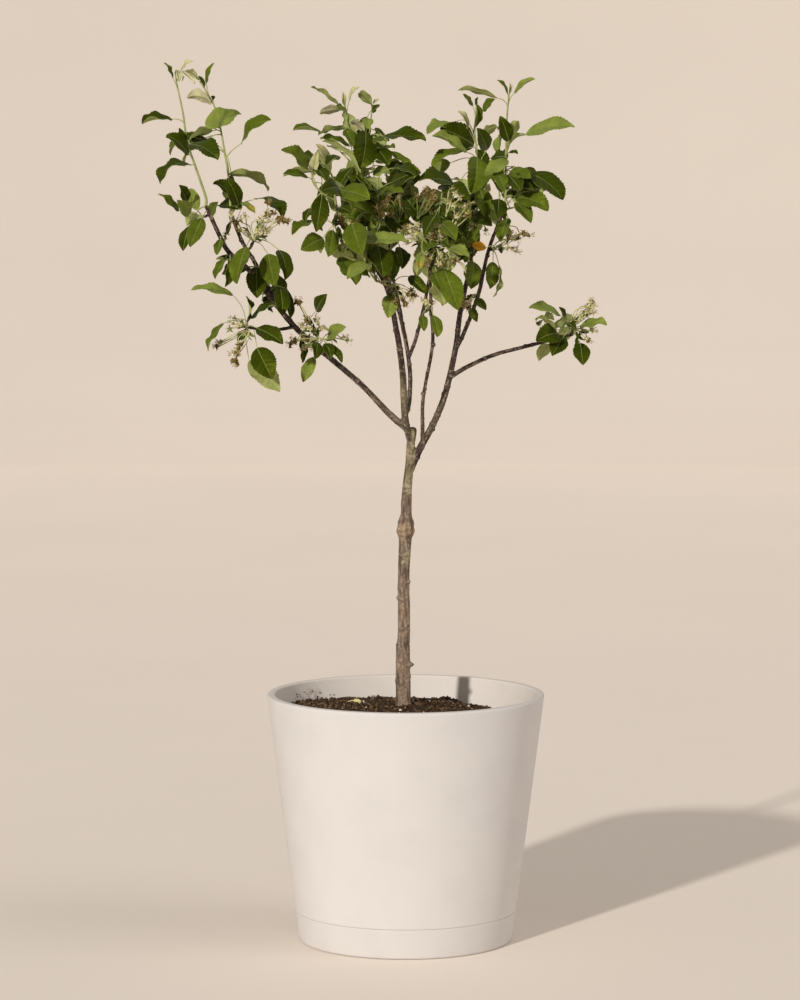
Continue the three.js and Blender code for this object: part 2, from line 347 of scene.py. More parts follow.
def soil_material(name, dark, light):
    """Mottled between the two colours, rough and dull."""
    finish = Finish(name, roughness=0.95, specular=0.15)
    finish.colour(finish.ramp(finish.noise(scale=260, detail=6), [(0.32, dark), (0.68, light)]))
    finish.bump(finish.noise(scale=800, detail=5), strength=0.6, distance=0.001)
    return finish.material


def plant_material(name, colour, roughness, specular=0.2):
    """A plain base colour with a slight drift over some centimetres, and a fine grain."""
    finish = Finish(name, roughness, specular)
    finish.shader.inputs["Specular Tint"].default_value = PLANT_SHEEN
    stops = [(0.3, tinted(colour, 1 - PLANT_DRIFT)), (0.7, tinted(colour, 1 + PLANT_DRIFT))]
    finish.colour(finish.ramp(finish.noise(scale=70, detail=5), stops))
    finish.bump(finish.noise(scale=900, detail=3), strength=0.25, distance=0.0004)
    return finish.material


# --- Stage and light ---
STAGE_RADIUS, STAGE_HEIGHT, STAGE_FILLET, STAGE_SEGMENTS = 9.6, 4.4, 2.6, 96
STAGE_DROP = 0.0004  # keeps the floor off the planter's underside
FLOOR_MARGIN = 1.0  # from the floor's edge to the foot of the rising wall
FLOOR_COLOUR, BACKDROP_GLOW = (0.80, 0.715, 0.635), 0.06
SHADE_HEIGHT = 1.3
SHADES = (  # share of that height, and how much of the floor's colour is left there
    (0.0, 1.0), (0.003, 0.948), (0.010, 0.915), (0.030, 0.868),
    (0.077, 0.812), (0.23, 0.73), (0.46, 0.68), (1.0, 0.63),
)
LAMPS = (  # name, the direction it shines from, strength, size in degrees, colour
    ("key", (-2.35, -4.1, 1.65), 3.0, 2.5, (1.0, 0.96, 0.90)),
    ("fill", (4.2, -1.6, 2.0), 0.80, 40, (1.0, 0.97, 0.94)),
)
SKY_COLOUR, SKY_STRENGTH = (1.0, 0.97, 0.935, 1), 0.38


def backdrop_material():
    """Pale plaster colour, darker where the backdrop rises and more of the light falls on it."""
    finish = Finish("backdrop", roughness=0.9, specular=0.1)
    height = finish.node("ShaderNodeSeparateXYZ", {"Vector": finish.place}).outputs["Z"]
    span = {"Value": height, "From Min": 0.0, "From Max": SHADE_HEIGHT}
    rise = finish.node("ShaderNodeMapRange", span).outputs["Result"]
    cloud = finish.ramp(finish.noise(scale=0.9, detail=3), [(0.3, (0.97, 0.97, 0.97)), (0.7, WHITE)])
    shaded = finish.ramp(rise, [(place, tinted(FLOOR_COLOUR, shade)) for place, shade in SHADES])
    paint = finish.mix(1.0, shaded, cloud, "MULTIPLY")
    finish.colour(paint)
    finish.tree.links.new(paint, finish.shader.inputs["Emission Color"])
    finish.shader.inputs["Emission Strength"].default_value = BACKDROP_GLOW
    return finish.material


def add_stage_part(name, profile, material):
    lowered = [(radius, height - STAGE_DROP) for radius, height in profile]
    pile = Pile()
    pile.add(*lathe(lowered, STAGE_SEGMENTS))
    mesh = pile.mesh(name)
    mesh.shade_smooth()
    mesh.materials.append(material)
    part = add_object(name, mesh)
    part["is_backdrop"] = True
    return part


def add_stage():
    """A round plain backdrop that rises from the floor, pale from every side. It lets the lamps' light in."""
    paint = backdrop_material()
    edge = STAGE_RADIUS - STAGE_FILLET
    floor_edge = edge - FLOOR_MARGIN
    rim = arc((edge, STAGE_FILLET), STAGE_FILLET, -90, 0, 32)
    add_stage_part("floor", [(0.0, 0.0), (1.0, 0.0), (floor_edge, 0.0)], paint)
    wall = add_stage_part("backdrop", [(floor_edge, 0.0)] + rim + [(STAGE_RADIUS, STAGE_HEIGHT)], paint)
    wall.visible_shadow = False


def add_sun(name, source, strength, size, colour):
    data = bpy.data.lights.new(name, "SUN")
    data.energy = strength
    data.angle = math.radians(size)
    data.color = colour
    lamp = add_object(name, data)
    lamp.rotation_euler = (-Vector(source)).to_track_quat("-Z", "Y").to_euler()


def add_light():
    """A key light from the front left, as in the photograph, and a wide weak fill from the right."""
    for lamp in LAMPS:
        add_sun(*lamp)
    world = bpy.data.worlds.new("studio")
    world.use_nodes = True
    sky = world.node_tree.nodes["Background"]
    sky.inputs["Color"].default_value = SKY_COLOUR
    sky.inputs["Strength"].default_value = SKY_STRENGTH
    bpy.context.scene.world = world
    bpy.context.scene.view_settings.view_transform = "Standard"


# --- Planter ---
POT_HEIGHT, POT_RADIUS_TOP, POT_RADIUS_BOTTOM, POT_WALL, POT_FLOOR = 0.313, 0.175, 0.135, 0.010, 0.008
SAUCER_HEIGHT, SAUCER_WALL, SAUCER_FLOOR, SAUCER_ROUND, SPIGOT_GAP = 0.038, 0.006, 0.005, 0.003, 0.0003
LIP_ROUND, SEAM_ROUND, SHOULDER_RISE = 0.0022, 0.0004, 0.018
POT_SEGMENTS, POT_SHARP = 180, math.radians(30)
# The inside is the same plastic as the outside: POT_INSIDE is warmer than POT_COLOUR, which paints the warm
# bounced light in the planter's shaded inside.
POT_COLOUR, POT_INSIDE = (0.600, 0.578, 0.565), (0.64, 0.59, 0.545)
SAUCER_COLOUR = tinted(POT_COLOUR, 0.975)
DIRT_PLACE = (-0.120, 0.111, 0.289)


def pot_radius(height):
    return POT_RADIUS_BOTTOM + (POT_RADIUS_TOP - POT_RADIUS_BOTTOM) * height / POT_HEIGHT


def add_planter():
    """The planter, with a spigot below the seam that stands in the saucer."""
    seam = SAUCER_HEIGHT + SPIGOT_GAP
    spigot = POT_RADIUS_BOTTOM - SAUCER_WALL - SPIGOT_GAP
    base = SAUCER_FLOOR + SPIGOT_GAP
    top = POT_HEIGHT - LIP_ROUND
    profile = [(0.0, base), (spigot - 0.001, base), (spigot, base + 0.001), (spigot, seam)]
    profile += arc((pot_radius(seam) - SEAM_ROUND, seam + SEAM_ROUND), SEAM_ROUND, -90, 0, 3)
    profile += [(pot_radius(z), z) for z in np.linspace(seam + 0.004, top - 0.002, 12)]
    profile += arc((pot_radius(top) - LIP_ROUND, top), LIP_ROUND, 0, 90, 6)
    outer_faces = (len(profile) - 1) * POT_SEGMENTS
    profile += arc((pot_radius(top) - POT_WALL + LIP_ROUND, top), LIP_ROUND, 90, 180, 6)
    profile += [(pot_radius(z) - POT_WALL, z) for z in np.linspace(top - 0.002, seam + SHOULDER_RISE, 10)]
    profile += [(spigot - POT_WALL, seam), (spigot - POT_WALL, base + POT_FLOOR), (0.0, base + POT_FLOOR)]
    points, faces = lathe(profile, POT_SEGMENTS)
    pile = Pile()
    pile.add(points, faces, [0] * outer_faces + [1] * (len(faces) - outer_faces))
    materials = [pot_material("planter", POT_COLOUR), pot_material("planter_inside", POT_INSIDE, DIRT_PLACE)]
    add_piece("planter", pile, materials, ["pot"], POT_SHARP)


def add_saucer():
    """The ring below the seam, which the planter stands in."""
    inside = POT_RADIUS_BOTTOM - SAUCER_WALL
    profile = [(0.0, 0.0), (POT_RADIUS_BOTTOM - SAUCER_ROUND, 0.0)]
    profile += arc((POT_RADIUS_BOTTOM - SAUCER_ROUND, SAUCER_ROUND), SAUCER_ROUND, -80, -5, 5)
    profile += [(pot_radius(z), z) for z in np.linspace(0.006, SAUCER_HEIGHT - 0.003, 3)]
    profile += arc((pot_radius(SAUCER_HEIGHT) - SEAM_ROUND, SAUCER_HEIGHT - SEAM_ROUND), SEAM_ROUND, 0, 90, 3)
    profile += [(inside, SAUCER_HEIGHT), (inside, SAUCER_FLOOR), (0.0, SAUCER_FLOOR)]
    pile = Pile()
    pile.add(*lathe(profile, POT_SEGMENTS))
    add_piece("saucer", pile, [pot_material("saucer", SAUCER_COLOUR)], ["pot_saucer"], POT_SHARP)


# --- Soil ---
TRUNK_FOOT = np.array((-0.003, 0.008))
SOIL_TOP, SOIL_FALL, SOIL_RADIUS, SOIL_FLAT = 0.2977, 0.0127, 0.160, 0.1
SOIL_BACK_FALL, SOIL_LEFT_RISE, SOIL_RIGHT_FALL = 0.003, 0.0062, 0.0145
SOIL_SKIRT, SOIL_OVERLAP = 0.02, 1.012
SOIL_RINGS, SOIL_SPOKES = 72, 220
SOIL_WAVES = ((45, 0.0028), (120, 0.0026), (330, 0.0012))  # waves per metre, height
SOIL_SETTLING = 0.001
SOIL_DARK, SOIL_LIGHT = (0.016, 0.0095, 0.0052), (0.075, 0.045, 0.024)
CRUMB, BROWN_CRUMB, WHITE_GRIT, CHIP, PETAL = range(5)
GRIT_KINDS = (  # count, least and most size, flatness, length, material
    (2100, 0.0008, 0.0026, 1.0, 1.2, CRUMB),
    (1100, 0.0010, 0.0027, 0.9, 1.3, BROWN_CRUMB),
    (260, 0.0008, 0.0018, 0.9, 1.3, CHIP),
    (80, 0.0009, 0.0020, 1.0, 1.0, WHITE_GRIT),
    (110, 0.0016, 0.0035, 0.35, 1.7, CHIP),
)
GRIT_COLOURS = {  # darkest and lightest, in the order of the material numbers
    "soil_crumb": ((0.016, 0.0095, 0.0052), (0.066, 0.039, 0.021)),
    "soil_crumb_brown": ((0.060, 0.036, 0.018), (0.160, 0.098, 0.050)),
    "soil_grit": ((0.55, 0.5, 0.43), (0.78, 0.74, 0.68)),
    "soil_chip": ((0.13, 0.080, 0.045), (0.29, 0.195, 0.12)),
    "soil_petal": ((0.60, 0.52, 0.20), (0.72, 0.66, 0.32)),
}
CLUMPS = (  # pixel of the heart, reach
    ((444, 699), 0.0085), ((434, 700), 0.0060), ((453, 701), 0.0060),
    ((378, 700), 0.0045), ((341, 701), 0.0050),
)
CLUMP_CRUMBS, CLUMP_SIZES, CLUMP_SHAPE = 36, (0.0014, 0.0034), (1.0, 1.0, 0.55)
WALL_CRUMBS, WALL_SIZES, DIRT_ANGLE, DIRT_SPREAD = 34, (0.0005, 0.0013), 2.4, 0.24
TWIGLETS, TWIGLET_RADII, TWIGLET_HALVES = 52, (0.0004, 0.0006, 0.0003), (0.003, 0.009)
PETAL_PIXEL, PETAL_SIZE, PETAL_STALK_RADII = (357, 702), 0.0047, (0.0007, 0.0005)


def soil_point(share, angle):
    """A point of the soil, which falls away from the trunk, most to the right, and rises on the left."""
    rim = SOIL_RADIUS * np.array((math.cos(angle), math.sin(angle)))
    flat = TRUNK_FOOT + (rim - TRUNK_FOOT) * share
    fall = max(0.0, (share - SOIL_FLAT) / (1 - SOIL_FLAT))
    left, right = max(0.0, -math.cos(angle)), max(0.0, math.cos(angle))
    height = SOIL_TOP - (SOIL_FALL + SOIL_BACK_FALL * math.sin(angle)) * fall ** 1.5
    height += SOIL_LEFT_RISE * fall * (left + 0.6 * left ** 6) - SOIL_RIGHT_FALL * fall ** 1.5 * right ** 2
    place = Vector((flat[0], flat[1], 0))
    height += sum(rise * noise.noise(place * waves) for waves, rise in SOIL_WAVES)
    return np.array((flat[0], flat[1], height - SOIL_SETTLING))


def add_soil():
    """The soil's surface in rings round the trunk, with a skirt and a bottom below it."""
    points = [soil_point(0, 0)]
    for ring in range(1, SOIL_RINGS + 1):
        share = (ring / SOIL_RINGS) * SOIL_OVERLAP
        points += [soil_point(share, 2 * math.pi * i / SOIL_SPOKES) for i in range(SOIL_SPOKES)]
    points += [rim - UP * SOIL_SKIRT for rim in points[-SOIL_SPOKES:]]
    points.append(np.array((*TRUNK_FOOT, SOIL_TOP - SOIL_FALL - SOIL_SKIRT)))
    faces = [(0, 1 + i, 1 + (i + 1) % SOIL_SPOKES) for i in range(SOIL_SPOKES)]
    for ring in range(SOIL_RINGS):
        inner, outer = 1 + ring * SOIL_SPOKES, 1 + (ring + 1) * SOIL_SPOKES
        for i in range(SOIL_SPOKES):
            j = (i + 1) % SOIL_SPOKES
            faces.append((inner + i, outer + i, outer + j, inner + j))
    skirt, bottom = 1 + SOIL_RINGS * SOIL_SPOKES, len(points) - 1
    faces += [(bottom, skirt + (i + 1) % SOIL_SPOKES, skirt + i) for i in range(SOIL_SPOKES)]
    pile = Pile()
    pile.add(points, faces)
    add_piece("soil_surface", pile, [soil_material("soil", SOIL_DARK, SOIL_LIGHT)], ["soil"])


def icosahedron():
    """Its 12 corners, and its 20 faces: every three corners that are each other's neighbours."""
    golden = (1 + 5 ** 0.5) / 2
    corners = np.array([(a, b * golden, 0) for a in (-1, 1) for b in (-1, 1)])
    corners = np.vstack((corners, np.roll(corners, 1, 1), np.roll(corners, 2, 1)))
    near = np.linalg.norm(corners[:, None] - corners[None], axis=2) < 2.1
    faces = []
    for a in range(12):
        for b in range(a + 1, 12):
            for c in range(b + 1, 12):
                if near[a, b] and near[b, c] and near[a, c]:
                    normal = np.cross(corners[b] - corners[a], corners[c] - corners[a])
                    faces.append((a, b, c) if normal @ corners[a] > 0 else (a, c, b))
    return corners, faces


GRAIN_CORNERS, GRAIN_FACES = icosahedron()
GRAIN_RADIUS = 1.9


def lump(rng, size, flat=1.0, long=1.0):
    """A small angular grain: an icosahedron pushed out of shape and turned at random."""
    stretch = np.array([rng.uniform(0.65, 1.25) for _ in GRAIN_CORNERS])[:, None]
    corners = GRAIN_CORNERS * (stretch * size / GRAIN_RADIUS)
    corners *= (long, 1.0, flat)
    turn = np.array(Vector([rng.gauss(0, 1) for _ in range(3)]).to_track_quat("X", "Z").to_matrix())
    if flat < 1:
        spin, tilt = rng.uniform(0, 2 * math.pi), rng.uniform(-0.5, 0.5)
        cosine, sine = math.cos(spin), math.sin(spin)
        turn = np.array(((cosine, -sine, 0), (sine, cosine, 0), (tilt, 0, 1)))
    return corners @ turn.T


def random_turn(rng):
    return unit(np.array([rng.gauss(0, 1) for _ in range(3)]))


def soil_under(column, row):
    """The place on the soil that shows at that pixel."""
    shares, angles = np.linspace(0.05, 0.97, 40), np.linspace(0, 6.2, 90)
    spread = [soil_point(share, angle) for share in shares for angle in angles]
    gaps = np.linalg.norm(shown_at(np.array(spread)) - (column, row), axis=1)
    return spread[int(np.argmin(gaps))]


def scatter_grains(grit, rng):
    """Crumbs, white grit and bits of bark all over the soil."""
    for count, least, most, flat, long, material in GRIT_KINDS:
        for _ in range(count):
            share, angle = math.sqrt(rng.uniform(0.012, 1)) * 0.985, rng.uniform(0, 2 * math.pi)
            size = least + (most - least) * rng.random() ** 2
            middle = soil_point(share, angle) + (0, 0, size * rng.uniform(0.1, 0.4))
            grit.add(lump(rng, size, flat, long) + middle, GRAIN_FACES, material)


def heap_clumps(grit, rng):
    """Larger crumbs that lie together in small heaps."""
    for pixel, reach in CLUMPS:
        heart = soil_under(*pixel)
        for _ in range(CLUMP_CRUMBS):
            away = random_turn(rng) * reach * rng.random() ** 0.5 * CLUMP_SHAPE
            away[2] = abs(away[2])
            grit.add(lump(rng, rng.uniform(*CLUMP_SIZES)) + heart + away, GRAIN_FACES, CRUMB)


def dirty_wall(grit, rng):
    """Crumbs of dirt on the planter's inner wall, at the back left."""
    for _ in range(WALL_CRUMBS):
        angle = DIRT_ANGLE + rng.uniform(-DIRT_SPREAD, DIRT_SPREAD)
        height = soil_point(1, angle)[2] + 0.001 + 0.011 * rng.random() ** 2
        out = (pot_radius(height) - POT_WALL - 0.0002) * np.array((math.cos(angle), math.sin(angle)))
        crumb = lump(rng, rng.uniform(*WALL_SIZES)) + np.array((*out, height))
        grit.add(crumb, GRAIN_FACES, rng.choice((CRUMB, BROWN_CRUMB)))


def lay_twiglets(grit, rng):
    for _ in range(TWIGLETS):
        share, angle = math.sqrt(rng.uniform(0.03, 0.95)), rng.uniform(0, 2 * math.pi)
        middle = soil_point(share, angle) + (0, 0, 0.0015)
        heading, length = rng.uniform(0, math.pi), rng.uniform(*TWIGLET_HALVES)
        half = np.array((math.cos(heading), math.sin(heading), rng.uniform(-0.25, 0.25))) * length
        bend = np.array((rng.uniform(-1, 1), rng.uniform(-1, 1), 0.4)) * 0.0012
        route = smooth_route([middle - half, middle + bend, middle + half], 0.003)
        grit.add(*tube(route, TWIGLET_RADII, 5), CHIP)


def lay_petal(grit, rng):
    """A fallen flower with its stalk."""
    bit = soil_under(*PETAL_PIXEL) + (0, 0, 0.0026)
    grit.add(lump(rng, PETAL_SIZE, 0.75, 1.2) + bit, GRAIN_FACES, PETAL)
    route = smooth_route([bit, bit + (-0.006, 0.001, 0.0005), bit + (-0.012, 0.001, -0.0012)], 0.003)
    grit.add(*tube(route, PETAL_STALK_RADII, 5), PETAL)


def add_grit():
    """All that lies loose on the soil, and some dirt on the planter's inner wall."""
    rng = random.Random(11)
    grit = Pile()
    for lay in (scatter_grains, heap_clumps, dirty_wall, lay_twiglets, lay_petal):
        lay(grit, rng)
    materials = [soil_material(name, *colours) for name, colours in GRIT_COLOURS.items()]
    add_piece("soil_grit", grit, materials, (), math.radians(20))


# --- Trunk and boughs ---
TRUNK_ROUTE = (
    (-0.003, 0.008, 0.296), (-0.0035, 0.008, 0.360), (-0.0022, 0.008, 0.395), (-0.0026, 0.008, 0.458),
    (-0.001, 0.008, 0.500), (0, 0.008, 0.525), (0.0016, 0.007, 0.569), (0.0048, 0.006, 0.603),
    (0.0064, 0.006, 0.630), (0.0104, 0.006, 0.650),
)
TRUNK_RADII = (  # height, radius
    (0.296, 0.0104), (0.304, 0.0094), (0.350, 0.0093), (0.366, 0.0089), (0.378, 0.0080), (0.458, 0.0075),
    (0.502, 0.0078), (0.510, 0.0084), (0.515, 0.0102), (0.522, 0.0107), (0.528, 0.0103), (0.534, 0.0086),
    (0.540, 0.0071), (0.569, 0.0062), (0.610, 0.0056), (0.636, 0.0053), (0.646, 0.0050), (0.650, 0.0032),
)
BOUGHS = {  # route, radii at even steps
    "bough_centre_front": (
        ((0.0062, 0.005, 0.631), (-0.001, -0.001, 0.662), (-0.004, -0.010, 0.718), (-0.012, -0.026, 0.774),
         (-0.028, -0.058, 0.836), (-0.080, -0.108, 0.908)), (0.0047, 0.0040, 0.0032, 0.0026)),
    "bough_centre_back": (
        ((-0.003, 0.002, 0.658), (0.004, 0.016, 0.678), (0.005, 0.028, 0.720), (-0.004, 0.052, 0.774),
         (-0.020, 0.080, 0.824), (-0.057, 0.122, 0.905)), (0.0030, 0.0028, 0.0026, 0.0024)),
    "bough_centre_inner": (
        ((0.004, 0.033, 0.736), (0.013, 0.034, 0.760), (0.023, 0.028, 0.800), (0.032, 0.014, 0.850)),
        (0.0026, 0.0022)),
    "bough_centre_core": (
        ((-0.003, 0.048, 0.766), (-0.008, 0.038, 0.800), (-0.016, 0.020, 0.834), (-0.024, 0.004, 0.866)),
        (0.0024, 0.0020)),
    "bough_left": (
        ((0.003, 0.003, 0.646), (-0.021, -0.006, 0.667), (-0.058, -0.014, 0.706), (-0.115, -0.026, 0.755),
         (-0.140, -0.032, 0.779), (-0.161, -0.038, 0.805), (-0.194, -0.050, 0.848), (-0.219, -0.058, 0.871),
         (-0.232, -0.063, 0.896), (-0.246, -0.069, 0.928)), (0.0046, 0.0036, 0.0036, 0.0036, 0.0032, 0.0026)),
    "bough_left_fork": (
        ((-0.156, -0.038, 0.800), (-0.174, -0.032, 0.829), (-0.188, -0.024, 0.857), (-0.203, -0.016, 0.881),
         (-0.218, -0.004, 0.916)), (0.0032, 0.0024)),
    "bough_left_spur": (
        ((-0.138, -0.031, 0.777), (-0.162, -0.050, 0.774), (-0.182, -0.066, 0.776), (-0.196, -0.078, 0.779)),
        (0.0024, 0.0019)),
    "bough_right": (
        ((0.006, 0.006, 0.596), (0.0175, 0.006, 0.622), (0.033, 0.011, 0.650), (0.049, 0.021, 0.688),
         (0.063, 0.041, 0.747), (0.069, 0.064, 0.790), (0.084, 0.104, 0.856)),
        (0.0050, 0.0042, 0.0038, 0.0034, 0.0028)),
    "bough_right_fork": (
        ((0.062, 0.040, 0.743), (0.073, 0.041, 0.765), (0.091, 0.028, 0.814), (0.103, 0.008, 0.869),
         (0.122, -0.009, 0.922)), (0.0029, 0.0023)),
    "bough_right_long": (
        ((0.058, 0.028, 0.712), (0.079, 0.036, 0.724), (0.112, 0.044, 0.738), (0.148, 0.052, 0.747),
         (0.188, 0.060, 0.757), (0.214, 0.067, 0.763)), (0.0030, 0.0026, 0.0022)),
    "bough_front": (
        ((0.021, 0.007, 0.622), (0.021, 0.001, 0.650), (0.022, -0.016, 0.690), (0.033, -0.045, 0.755),
         (0.031, -0.070, 0.800), (0.029, -0.104, 0.850)), (0.0028, 0.0023, 0.0023, 0.0022)),
}
SPURS = {  # short knobbly side wood: the limb that carries it, and the pixel and depth of its tip
    "spur_left_outer": ("bough_left", (203, 217, -0.072)),
    "spur_left_truss": ("bough_left_fork", (254, 240, -0.040)),
    "spur_left_bend": ("bough_left_fork", (263, 268, -0.046)),
    "spur_left_low": ("bough_left", (318, 338, -0.040)),
    "spur_centre_truss": ("bough_centre_front", (333, 224, -0.112)),
    "spur_centre_low": ("bough_centre_front", (391, 286, -0.060)),
    "spur_core_front": ("bough_centre_front", (372, 236, -0.090)),
    "spur_core_back": ("bough_centre_core", (398, 226, 0.010)),
    "spur_front_low": ("bough_front", (428, 309, -0.066)),
    "spur_front_top": ("bough_front", (436, 252, -0.108)),
    "spur_inner": ("bough_centre_inner", (448, 238, 0.004)),
    "spur_right_low": ("bough_right_fork", (475, 296, 0.026)),
    "spur_right_hang": ("bough_right_fork", (493, 250, 0.004)),
    "spur_right_back": ("bough_right", (468, 262, 0.092)),
    "spur_far_right": ("bough_right_long", (572, 327, 0.062)),
    "wood_right_back": ("bough_right", (477, 212, 0.114)),
}
SPUR_RADIUS, SPUR_WAVE, SPUR_SAG = 0.0019, 0.0004, 0.1
LIMB_STEP, LIMB_SIDES = 0.001, 14
BARK_VOXEL = 0.00098


def trunk_radii(route):
    heights, radii = zip(*TRUNK_RADII)
    return np.interp(route[:, 2], heights, radii)


def limb_lines():
    """Every woody limb as a named line of samples with its radii."""
    lines = {}
    route = smooth_route(TRUNK_ROUTE, LIMB_STEP)
    lines["trunk"] = (route, trunk_radii(route))
    for name, (points, radii) in BOUGHS.items():
        route = smooth_route(points, LIMB_STEP)
        lines[name] = (route, along(radii, len(route)))
    for name, (carrier, tip) in SPURS.items():
        tip = seen(*tip)
        route = lines[carrier][0]
        foot = route[np.argmin(np.linalg.norm(route - tip, axis=1))]
        bend = (foot + tip) / 2 - UP * SPUR_SAG * np.linalg.norm(tip - foot)
        route = smooth_route([foot, bend, tip], LIMB_STEP)
        lines[name] = (route, SPUR_RADIUS + SPUR_WAVE * np.sin(np.arange(len(route)) * 1.3))
    return lines


def wood_mesh(lines):
    """One closed mesh of all the wood, in which the limbs run together."""
    wood = Pile()
    for route, radii in lines.values():
        wood.add(*tube(route[::3] if len(route) > 40 else route, radii, LIMB_SIDES))
    rough = wood.mesh("wood")
    holder = add_object("wood", rough)
    remesh = holder.modifiers.new("skin", "REMESH")
    remesh.mode = "VOXEL"
    remesh.voxel_size = BARK_VOXEL
    soften = holder.modifiers.new("soften", "SMOOTH")
    soften.factor = 0.5
    soften.iterations = 4
    mesh = bpy.data.meshes.new_from_object(holder.evaluated_get(bpy.context.evaluated_depsgraph_get()))
    bpy.data.objects.remove(holder)
    bpy.data.meshes.remove(rough)
    mesh.name = "bark"
    return mesh


# --- Bark ---
RING_SCARS = (  # middles of the ring-shaped scars on the boughs
    (0.009, 0.006, 0.612), (-0.004, -0.006, 0.690), (0.052, 0.024, 0.700), (0.035, 0.012, 0.652),
    (0.040, 0.014, 0.664), (-0.060, -0.0145, 0.708), (-0.104, -0.024, 0.745), (0.022, -0.018, 0.694),
    (0.033, -0.046, 0.757), (0.066, 0.052, 0.768), (-0.180, -0.045, 0.830), (0.100, 0.041, 0.733),
    (0.160, 0.054, 0.750), (0.002, 0.030, 0.726), (-0.008, -0.018, 0.748),
)
KNOBS = (  # pixel and depth of the middle, radius, height
    ((410.6, 664.5, 0.006), 0.0034, 0.0058), ((409.2, 582, 0.004), 0.0034, 0.0026),
    ((398.0, 598, 0.005), 0.0034, 0.0024), ((397.8, 588, 0.005), 0.0036, 0.0010),
    ((396.8, 646, 0.005), 0.0060, 0.0014), ((397.4, 681, 0.005), 0.0046, 0.0014),
    ((409.9, 676, 0.005), 0.0040, 0.0010), ((402.6, 629, 0.000), 0.0022, 0.0013),
    ((405.4, 626.5, 0.000), 0.0022, 0.0015), ((408.0, 623.5, 0.001), 0.0022, 0.0014),
    ((402.2, 478, 0.002), 0.0040, 0.0008), ((411.5, 452, 0.004), 0.0036, 0.0012),
    ((397.5, 391, -0.010), 0.0040, 0.0030), ((401.5, 398, -0.013), 0.0046, 0.0020),
    ((405.0, 404, -0.010), 0.0044, 0.0016), ((433.4, 345, -0.045), 0.0022, 0.0030),
    ((424.4, 375, -0.030), 0.0020, 0.0030), ((422.0, 394, -0.018), 0.0018, 0.0022),
    ((434.5, 430, 0.010), 0.0026, 0.0018), ((395.2, 425, -0.006), 0.0026, 0.0014),
    ((343.0, 375, -0.022), 0.0026, 0.0022), ((452.5, 374, 0.028), 0.0034, 0.0014),
    ((448.0, 388, 0.022), 0.0022, 0.0014), ((364.0, 396, -0.017), 0.0022, 0.0018),
)
LICHEN = (  # pixels and depths
    (408, 552, -0.001), (404, 560, -0.001), (410, 541, 0.000), (411, 470, -0.001), (408, 488, 0.000),
)
SCAR_LINES = (  # pixels and depths of both ends of short raised scars: each lip is painted paler as a highlight, and a slight dent below it is painted dark as the shade under the lip
    ((401.6, 629.5, 0.0005), (409.4, 623.5, 0.003)), ((397.8, 597.5, 0.006), (402.0, 599.5, 0.0000)),
    ((396.5, 645.0, 0.007), (398.5, 643.0, 0.002)), ((398.0, 681.0, 0.004), (401.0, 682.5, 0.0000)),
    ((406.0, 583.0, 0.0005), (410.0, 580.5, 0.005)), ((399.5, 554.5, 0.004), (402.0, 556.0, 0.001)),
)
PIT = ((410, 538.5, -0.001), 0.0026)  # pixel and depth of the middle, radius
HOLES = (((409.5, 440, 0.0), 0.0026), ((413.5, 427.5, 0.003), 0.0018))
CUT = ((414.5, 428.6, 0.001), 0.0030)
SWELLING = np.array((-0.004, -0.007, 0.692))
UNION_HEIGHT, WARTS_HEIGHT, COLLAR_HEIGHT, CRACK_HEIGHT = 0.521, 0.5205, 0.5225, 0.5665
TRUNK_GAPS, FORK_HEIGHTS, STUB_HEIGHTS = (1.55, 1.12), (0.602, 0.596), (0.653, 0.650)
BUD_START, BUD_END, BUD_STEPS, BUD_TURN = 18, 6, (16, 34), 2.4  # in samples of the limb, and radians
BUD_WIDTH, BUD_LENGTH = 0.0011, 0.0019
RING_REACH, RING_WIDTH = 0.009, 0.0011
# GROOVE_DROP sets how far below each lip its painted shade lies.
LIP_SPOTS, LIP_SIZE, GROOVE_DROP, GROOVE_SIZE = 7, 0.0013, 0.0022, 0.0012
GREY, PALE, DEEP = (0.255, 0.180, 0.124), (0.42, 0.325, 0.24), (0.066, 0.042, 0.026)
PURPLE, OCHRE, OLIVE = (0.19, 0.135, 0.100), (0.31, 0.215, 0.125), (0.225, 0.195, 0.100)
TWIG, BLOOM, LICHEN_GREEN = (0.034, 0.020, 0.014), (0.27, 0.195, 0.155), (0.30, 0.31, 0.17)


def smoothstep(low, high, value):
    share = np.clip((np.asarray(value) - low) / (high - low), 0, 1)
    return share * share * (3 - 2 * share)


def hump(value, middle, width, power=2):
    """1 at the middle, falling smoothly to nothing on both sides."""
    return np.exp(-((value - middle) / width) ** power)


def blend(first, second, share):
    return first + (np.array(second) - first) * share[:, None]


def noise_at(points, scale, seed=0.0):
    """Smooth noise of about -1 to 1 at each point."""
    scaled = points * scale + seed
    return np.array([noise.noise(Vector(p)) for p in scaled.tolist()])


def near_place(points, place, size):
    """1 at the place, falling smoothly to nothing within about twice that size."""
    return np.exp(-(np.linalg.norm(points - place, axis=1) / size) ** 2)


def share_on_trunk(points, line):
    """1 on the trunk's own skin, and 0 on the boughs that leave it."""
    route, radii = line
    height = points[:, 2]
    centre = np.stack([np.interp(height, route[:, 2], route[:, i]) for i in (0, 1)], 1)
    gap = np.linalg.norm(points[:, :2] - centre, axis=1) / np.interp(height, route[:, 2], radii)
    below_forks = smoothstep(*FORK_HEIGHTS, height)
    return np.maximum(smoothstep(*TRUNK_GAPS, gap), below_forks) * smoothstep(*STUB_HEIGHTS, height)


def nearest_samples(samples, points):
    """For each point the number of the nearest sample."""
    tree = KDTree(len(samples))
    for i, sample in enumerate(samples.tolist()):
        tree.insert(sample, i)
    tree.balance()
    return np.array([tree.find(p)[1] for p in points.tolist()])


